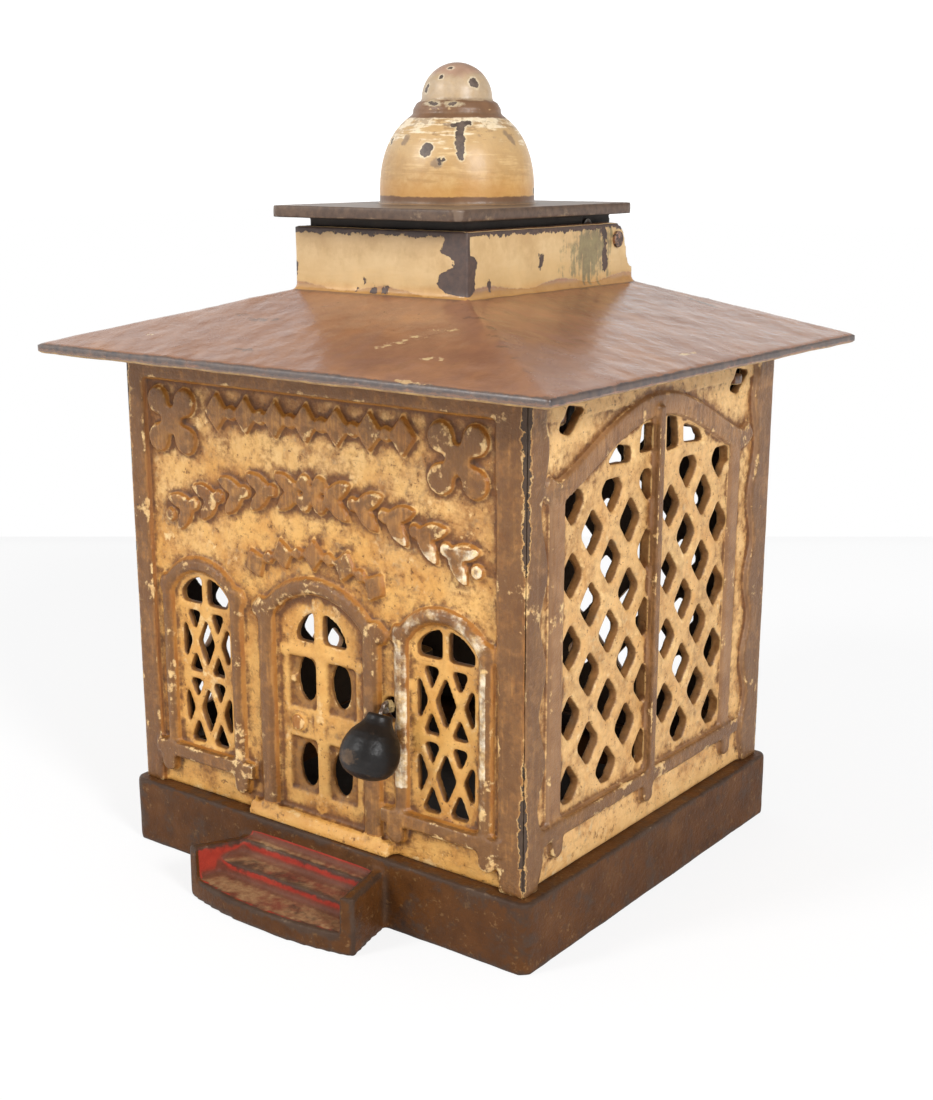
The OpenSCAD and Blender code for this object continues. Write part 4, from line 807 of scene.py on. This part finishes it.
# Wire through the bead, bent into an eye
NECK = np.array((16.2, -40.7, 36.5))
down = np.array((0, -sin(radians(25)), -cos(radians(25))))
turns = np.arange(-0.2, 0.86, 0.02)[:, None] * 2 * pi
eye = EYE + 0.7 * np.hstack([0 * turns, -np.sin(turns + 0.9), -np.cos(turns + 0.9)])
tail = np.array([(15.8, -39.45, 36.65), (15.95, -39.95, 36.95), (16.1, -40.3, 36.97), (16.2, -40.5, 36.85)])
wire_line = route(np.vstack([eye[::-1], tail, [NECK - 0.2 * down, NECK + 10.1 * down]]), step=0.1, rounds=4)
wire = swept("wire_casing", [wire_line], 0.36)
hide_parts("knob_wire")
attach(wire, "pull")
finish_with(wire, old_steel)

# Counter and cashier, made as they stand with the lid open and then laid down with the lid shut

STOWED = Matrix.Translation(HINGE) @ Matrix.Rotation(radians(OPEN), 4, "X")
# The cashier's middle and the heights of their foot, shoulders, elbows and head, from the hinge's axis
Y = -13.6
LOW = -2.6
SHOULDER = LOW + 10.3
ELBOW = LOW + 7.9
H = LOW + 12.3 + 0.6 + 3.4


def lay_down(piece):
    """Moves a piece drawn in millimetres round the hinge to where it lies with the lid shut."""
    piece.data.transform(Matrix.Scale(MM, 4) @ STOWED @ Matrix.Scale(1 / MM, 4))


def stand_up(piece):
    piece.data.transform(Matrix.Scale(MM, 4) @ STOWED.inverted() @ Matrix.Scale(1 / MM, 4))


def ball(middle, reach, turn=(0, 0, 0)):
    """A ball stretched to three half widths and turned by three angles in degrees."""
    bpy.ops.mesh.primitive_uv_sphere_add(segments=40, ring_count=24, radius=1)
    piece = bpy.context.object
    spin = Matrix.Rotation(radians(turn[2]), 4, "Z") @ Matrix.Rotation(radians(turn[1]), 4, "Y")
    spin = spin @ Matrix.Rotation(radians(turn[0]), 4, "X")
    piece.data.transform(Matrix.Translation(Vector(middle) * MM) @ spin @ Matrix.Diagonal((*reach, 1))
                         @ Matrix.Scale(MM, 4))
    return piece


def pair(middle, reach, turn=(0, 0, 0)):
    """A ball and its mirror image on the figure's other side."""
    x, y, z = middle
    return [ball(middle, reach, turn), ball((-x, y, z), reach, (turn[0], -turn[1], -turn[2]))]


def melted(name, parts, grid):
    """Parts joined to one skin, with the seams between them rounded."""
    pick(*parts)
    bpy.ops.object.join()
    piece = bpy.context.object
    piece.name = name
    modify(piece, "REMESH", mode="VOXEL", voxel_size=grid * COARSE * MM, use_smooth_shade=True)
    modify(piece, "SMOOTH", factor=0.5, iterations=2)
    smooth_shade(piece)
    return piece


# Painted figure: flesh, dark hair, blue coat over a white shirt, all crazed and soiled with age
figure_paint = painted("painted_figure", [
    coat("#dcb090", "#cf9f7c"),
    coat("#c98268", "#d08e74", (0.0, 0.5), "cheek", share=0.6, grit1=0.3),
    coat("#f0e8d8", "#e2d6c0", (0.0, 0.08), "white", grain1=0.1),
    coat("#2b2522", "#382f2a", (0.0, 0.08), "dark", grain2=0.12),
    coat("#9c4f43", "#8a4238", (0.0, 0.08), "lips", grain1=0.06),
    coat("#2c3d58", "#25344c", (0.0, 0.08), "coat", rough=0.45, grain3=0.1),
    coat("#c9a24e", "#b08a3c", (0.0, 0.08), "brass", rough=0.35),
    coat("#7d6a55", "#6a5947", (0.02, 0.12), "hollow", share=0.55, grit2=0.14),
    coat("#4d4038", "#5c4d42", (0.22, 0.26), share=0.8, sink=0.02, grit1=0.9, blot3=0.4, grain3=0.3),
], 0.42, (0.008, 0.015), specular=0.45)


def figure(piece, node, masks):
    """Paints a part of the figure by its masks and lays it down in its node's place."""
    place, normal = store_form(piece)
    found = masks(place)
    for name in ("cheek", "white", "dark", "lips", "coat", "brass"):
        store(piece, name, found.get(name, np.full(len(place), -1.0)))
    finish_with(piece, figure_paint)
    lay_down(piece)
    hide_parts(node)
    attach(piece, "cupola")


# Skull, jaw, chin and nose
features = [ball((0, Y + 0.1, H + 0.5), (2.75, 3.1, 3.0)), ball((0, Y - 0.5, H - 1.2), (2.15, 2.35, 2.3)),
            ball((0, Y - 1.9, H - 2.55), (0.95, 0.8, 0.7)),
            ball((0, Y - 3.15, H - 0.45), (0.42, 0.62, 0.62), (25, 0, 0)),
            ball((0, Y - 2.75, H + 0.35), (0.35, 0.5, 0.8))]
# Nostrils, brows, cheeks and eyes
features += pair((-0.33, Y - 3.0, H - 0.7), (0.3, 0.4, 0.26))
features += pair((-1.0, Y - 2.45, H + 1.0), (0.85, 0.4, 0.26), (0, 8, 14))
features += pair((-1.45, Y - 2.0, H - 0.75), (0.75, 0.7, 0.62))
features += pair((-0.98, Y - 2.42, H + 0.3), (0.5, 0.34, 0.34))
# Lips and ears
features += [ball((0, Y - 2.68, H - 1.42), (0.72, 0.36, 0.17)),
             ball((0, Y - 2.62, H - 1.72), (0.6, 0.36, 0.19))]
features += pair((-2.72, Y + 0.2, H - 0.1), (0.3, 0.62, 0.85), (0, 0, -16))
# Hair and neck
features += [ball((0, Y + 0.75, H + 1.35), (2.85, 2.85, 2.35)),
             ball((-1.3, Y - 1.0, H + 2.55), (1.5, 1.5, 0.8), (0, -14, 0)),
             ball((0.7, Y - 1.2, H + 2.65), (1.9, 1.5, 0.75), (0, 10, 0)),
             ball((0, Y + 1.3, H - 0.2), (2.4, 2.0, 2.0)), ball((0, Y + 0.2, LOW + 12.6), (1.35, 1.35, 1.6))]
head = melted("cashier_face", features, 0.1)


def both_sides(place, x, *rest):
    """How deep each point lies inside a patch or its mirror image."""
    return patches(place, [(-x, *rest), (x, *rest)])


def head_masks(place):
    x, y, z = (place - (0, Y, H)).T
    wide = np.abs(x)
    hair_line = z - 1.55 - 0.25 * np.cos(x * 2.2) + np.clip(y, 0, 3) * 0.9
    hair = np.maximum(hair_line, np.minimum(y - 0.95, z + 1.9))
    sideburn = np.minimum(np.minimum(y + 1.0, 0.6 - y), np.minimum(z + 0.2, 2.95 - wide))
    hair = np.maximum(hair, sideburn * (wide < 2.62))
    brow = both_sides(place, 1.02, Y - 2.75, H + 1.05, 0.85, 0.7, 0.17)
    iris = both_sides(place, 0.98, Y - 2.76, H + 0.3, 0.2, 0.5, 0.2)
    eyelid = both_sides(place, 0.98, Y - 2.7, H + 0.5, 0.52, 0.6, 0.09)
    white = both_sides(place, 0.98, Y - 2.75, H + 0.3, 0.42, 0.6, 0.23)
    cheek = both_sides(place, 1.5, Y - 2.4, H - 0.8, 1.1, 1.0, 0.9)
    lips = patches(place, [(0, Y - 2.9, H - 1.57, 0.72, 0.7, 0.26)])
    dark = np.maximum.reduce([hair, brow, iris, eyelid])
    return {"cheek": cheek, "white": white, "dark": dark, "lips": lips}


figure(head, "cashier_head", head_masks)

torso = copy_of("cashier_body", "cashier_torso")
stand_up(torso)
parts = [torso, ball((0, Y - 0.15, SHOULDER + 0.9), (2.5, 1.9, 1.15))]
for s in (-1, 1):
    hand = (s * 1.5, Y - 7.9, ELBOW + 0.05)
    parts += [
        ball((s * 2.0, Y - 0.1, SHOULDER + 0.55), (2.1, 1.6, 1.1), (0, s * 24, 0)),
        ball((s * 1.65, Y - 6.8, ELBOW), (1.28, 0.5, 1.28), (0, 0, s * 12)), ball(hand, (0.8, 1.2, 0.5)),
        ball((hand[0] - s * 0.7, hand[1] + 0.1, hand[2] + 0.15), (0.26, 0.7, 0.26), (0, 0, s * 24)),
        ball((s * 1.1, Y - 2.75, SHOULDER - 1.6), (0.75, 0.5, 2.4), (0, s * 20, 0)),
        ball((s * 0.75, Y - 1.75, SHOULDER + 2.1), (0.85, 0.5, 0.6), (0, s * 30, 0)),
        ball((s * 0.55, Y - 2.35, SHOULDER + 1.15), (0.62, 0.42, 0.42), (0, s * 12, 0))]
    parts += [ball((hand[0] + (k - 1.5) * 0.38, hand[1] - 1.0, hand[2] - 0.02), (0.2, 0.72, 0.24))
              for k in range(4)]
parts += [ball((0, Y - 3.3, LOW + 3.4 + 2.1 * k), (0.36, 0.25, 0.36)) for k in range(4)]
torso = melted("cashier_torso", parts, 0.11)


def torso_masks(place):
    x, y, z = (place - (0, Y, 0)).T
    wide = np.abs(x)
    hands = np.where(y < -7.1, -7.1 - y, -1)
    vee = np.minimum((z - SHOULDER + 1.9) * 0.42 - wide + 0.15, -y - 1.6)
    tie = both_sides(place, 0.55, Y - 2.45, SHOULDER + 1.15, 0.7, 0.6, 0.5)
    cuff = np.where((y < -6.45) & (y > -7.2), 0.3, -1)
    buttons = patches(place, [(0, Y - 3.4, LOW + 3.4 + 2.1 * k, 0.42) for k in range(4)])
    collar = np.minimum(z - SHOULDER - 1.5, 2.6 - np.hypot(x, y + 0.2))
    white = np.maximum.reduce([vee, cuff, collar])
    skin = np.maximum(hands, np.minimum(z - SHOULDER - 2.35, 1.5 - wide))
    jacket = np.where((skin > 0) | (white > 0), -1.0, 1.0)
    return {"white": np.where(skin > 0, -1, white), "coat": jacket, "dark": tie, "brass": buttons}


figure(torso, "cashier_body", torso_masks)

# Counter in red enamel with a worn top board and gilt panels
counter_paint = painted("old_enamel_counter", [
    coat("#7e3322", "#6c2b1d"),
    coat("#93442e", "#85391f", (0.0, 0.25), share=0.7, cloud1=0.6, blot2=0.6),
    coat("#c69a54", "#b3873f", (0.0, 0.1), "gilt", grit1=0.25, grain2=0.1),
    coat("#4c2a1d", "#3a2118", (0.02, 0.14), "hollow", share=0.8, grit2=0.2),
    coat("#a9835c", "#8a684a", (0.04, 0.1), "edge", share=0.8, sink=0.02, grit1=0.2, blot3=0.2),
    coat("#5b4a3d", "#74604e", (0.1, 0.5), "top", share=0.85, rough=0.38, blot1=1.2, grit2=0.6),
    coat("#2f2722", "#3d322b", (0.22, 0.26), share=0.85, sink=0.03, grit3=0.9, blot2=0.5),
], 0.42, (0.012, 0.03), specular=0.45)

desk = copy_of("counter", "counter_casting")
stand_up(desk)
place, normal = points_of(desk)
DESK_FRONT = float(place[:, 1].min())
DESK_BACK = float(place[:, 1].max())
DESK_TOP = float(place[:, 2].max())
DESK_HALF = float(place[:, 0].max())


def block(x0, x1, y0, y1, z0, z1):
    """A box between two places on each axis."""
    bpy.ops.mesh.primitive_cube_add(size=1)
    piece = bpy.context.object
    piece.data.transform(Matrix.Translation(Vector((x0 + x1, y0 + y1, z0 + z1)) * 0.5 * MM)
                         @ Matrix.Diagonal(Vector((x1 - x0, y1 - y0, z1 - z0, 1))) @ Matrix.Scale(MM, 4))
    return piece


# Three framed panels with a boss on the front, and two lines on each side
BEAD = 0.45
face = DESK_FRONT + 0.4
low, high = LOW + 0.7, DESK_TOP - 2.0
levels = ((high - BEAD, high), (low, low + BEAD))
half = DESK_HALF * 0.27
parts = [desk]
for k in range(3):
    mid = (k - 1) * (DESK_HALF - 1.2) * 0.64
    left, right = mid - half, mid + half
    bars = ((left, left + BEAD), (right - BEAD, right))
    parts += [block(left, right, face - 0.3, face + 0.3, *level) for level in levels]
    parts += [block(*bar, face - 0.3, face + 0.3, low, high) for bar in bars]
    parts.append(ball((mid, face, (low + high) / 2), (half * 0.5, 0.42, 0.75)))
for s in (-1, 1):
    side = s * (DESK_HALF - 0.6)
    parts += [block(side - 0.25, side + 0.25, face + 3, DESK_BACK - 3, *level) for level in levels]
desk = melted("counter_casting", parts, 0.13)
place, normal = store_form(desk)
x, y, z = place.T
store(desk, "gilt", np.minimum(face - 0.12 - y, DESK_TOP - 1.6 - z))
store(desk, "top", np.where(z > DESK_TOP - 0.4, normal[:, 2], -1))
finish_with(desk, counter_paint)
lay_down(desk)
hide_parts("counter")
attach(desk, "cupola")

# World, floor and lamps

world = bpy.data.worlds.new("studio")
world.use_nodes = True
tree = world.node_tree
tree.nodes.clear()
path = add(tree, "ShaderNodeLightPath")
seen = reckon(tree, "MAXIMUM", path.outputs["Is Camera Ray"], path.outputs["Is Transmission Ray"])
# What the bank mirrors is a white backdrop that ends in a slanting line, with a darker room above
way = add(tree, "ShaderNodeTexCoord").outputs["Generated"]
lift = add(tree, "ShaderNodeVectorMath", {0: way, 1: (0.38, 0, 1)}, operation="DOT_PRODUCT").outputs["Value"]
level = reckon(tree, "MAXIMUM", seen, ramp(tree, lift, 0.2, 0.28, 1.3, 0.4))
sky = add(tree, "ShaderNodeBackground", {"Color": (1, 1, 1, 1), "Strength": level})
add(tree, "ShaderNodeOutputWorld", {"Surface": sky.outputs[0]})
bpy.context.scene.world = world
bpy.context.scene.view_settings.view_transform = "Standard"

bpy.ops.mesh.primitive_plane_add(size=5, location=(0, 0, 0))
floor = bpy.context.object
floor.name = "floor"
white_board, tree, place = new_material("painted_board")
# The board darkens a little in a line of painted shade and ends in a line behind the object, and a pale wall
# takes over
BOARD_SHADE_LINE = (0.212, 0.2245)
BOARD_ENDS = (0.2225, 0.2265)
turned = add(tree, "ShaderNodeMapping", {"Vector": place, "Rotation": (0, 0, radians(-CAMERA_TURN))})
split = add(tree, "ShaderNodeSeparateXYZ", {"Vector": turned.outputs[0]})
beyond = ramp(tree, split.outputs["Y"], *BOARD_ENDS)
# A line of painted shade on the board just before it ends
line = ramp(tree, split.outputs["Y"], *BOARD_SHADE_LINE, kind="SMOOTHSTEP")
path = add(tree, "ShaderNodeLightPath")
diffuse = add(tree, "ShaderNodeBsdfDiffuse", {"Color": (0.94, 0.94, 0.95, 1)})
shine = add(tree, "ShaderNodeEmission", {"Color": (1, 1, 1, 1), "Strength": 1.0})
glow = reckon(tree, "MULTIPLY", path.outputs["Is Camera Ray"], 0.8)
glow = reckon(tree, "MAXIMUM", reckon(tree, "MULTIPLY_ADD", line, -0.1, glow), beyond)
board = add(tree, "ShaderNodeMixShader", {0: glow, 1: diffuse.outputs[0], 2: shine.outputs[0]})
add(tree, "ShaderNodeOutputMaterial", {"Surface": board.outputs[0]})
finish_with(floor, white_board)


# The bank's middle, where the lamps point
LAMP_AIM = Vector((0, 0, 0.06))


def lamp(name, size, place, power):
    """A round lamp, with its size and place in metres."""
    light = bpy.data.objects.new(name, bpy.data.lights.new(name, "AREA"))
    light.data.shape = "DISK"
    light.data.size = size
    light.data.energy = power
    light.location = place
    light.rotation_euler = (LAMP_AIM - Vector(place)).to_track_quat("-Z", "Y").to_euler()
    bpy.context.scene.collection.objects.link(light)


lamp("soft_left", 0.24, (-0.35, -0.75, 0.65), 4.4)
lamp("soft_right", 0.22, (0.75, -0.3, 0.5), 6.2)
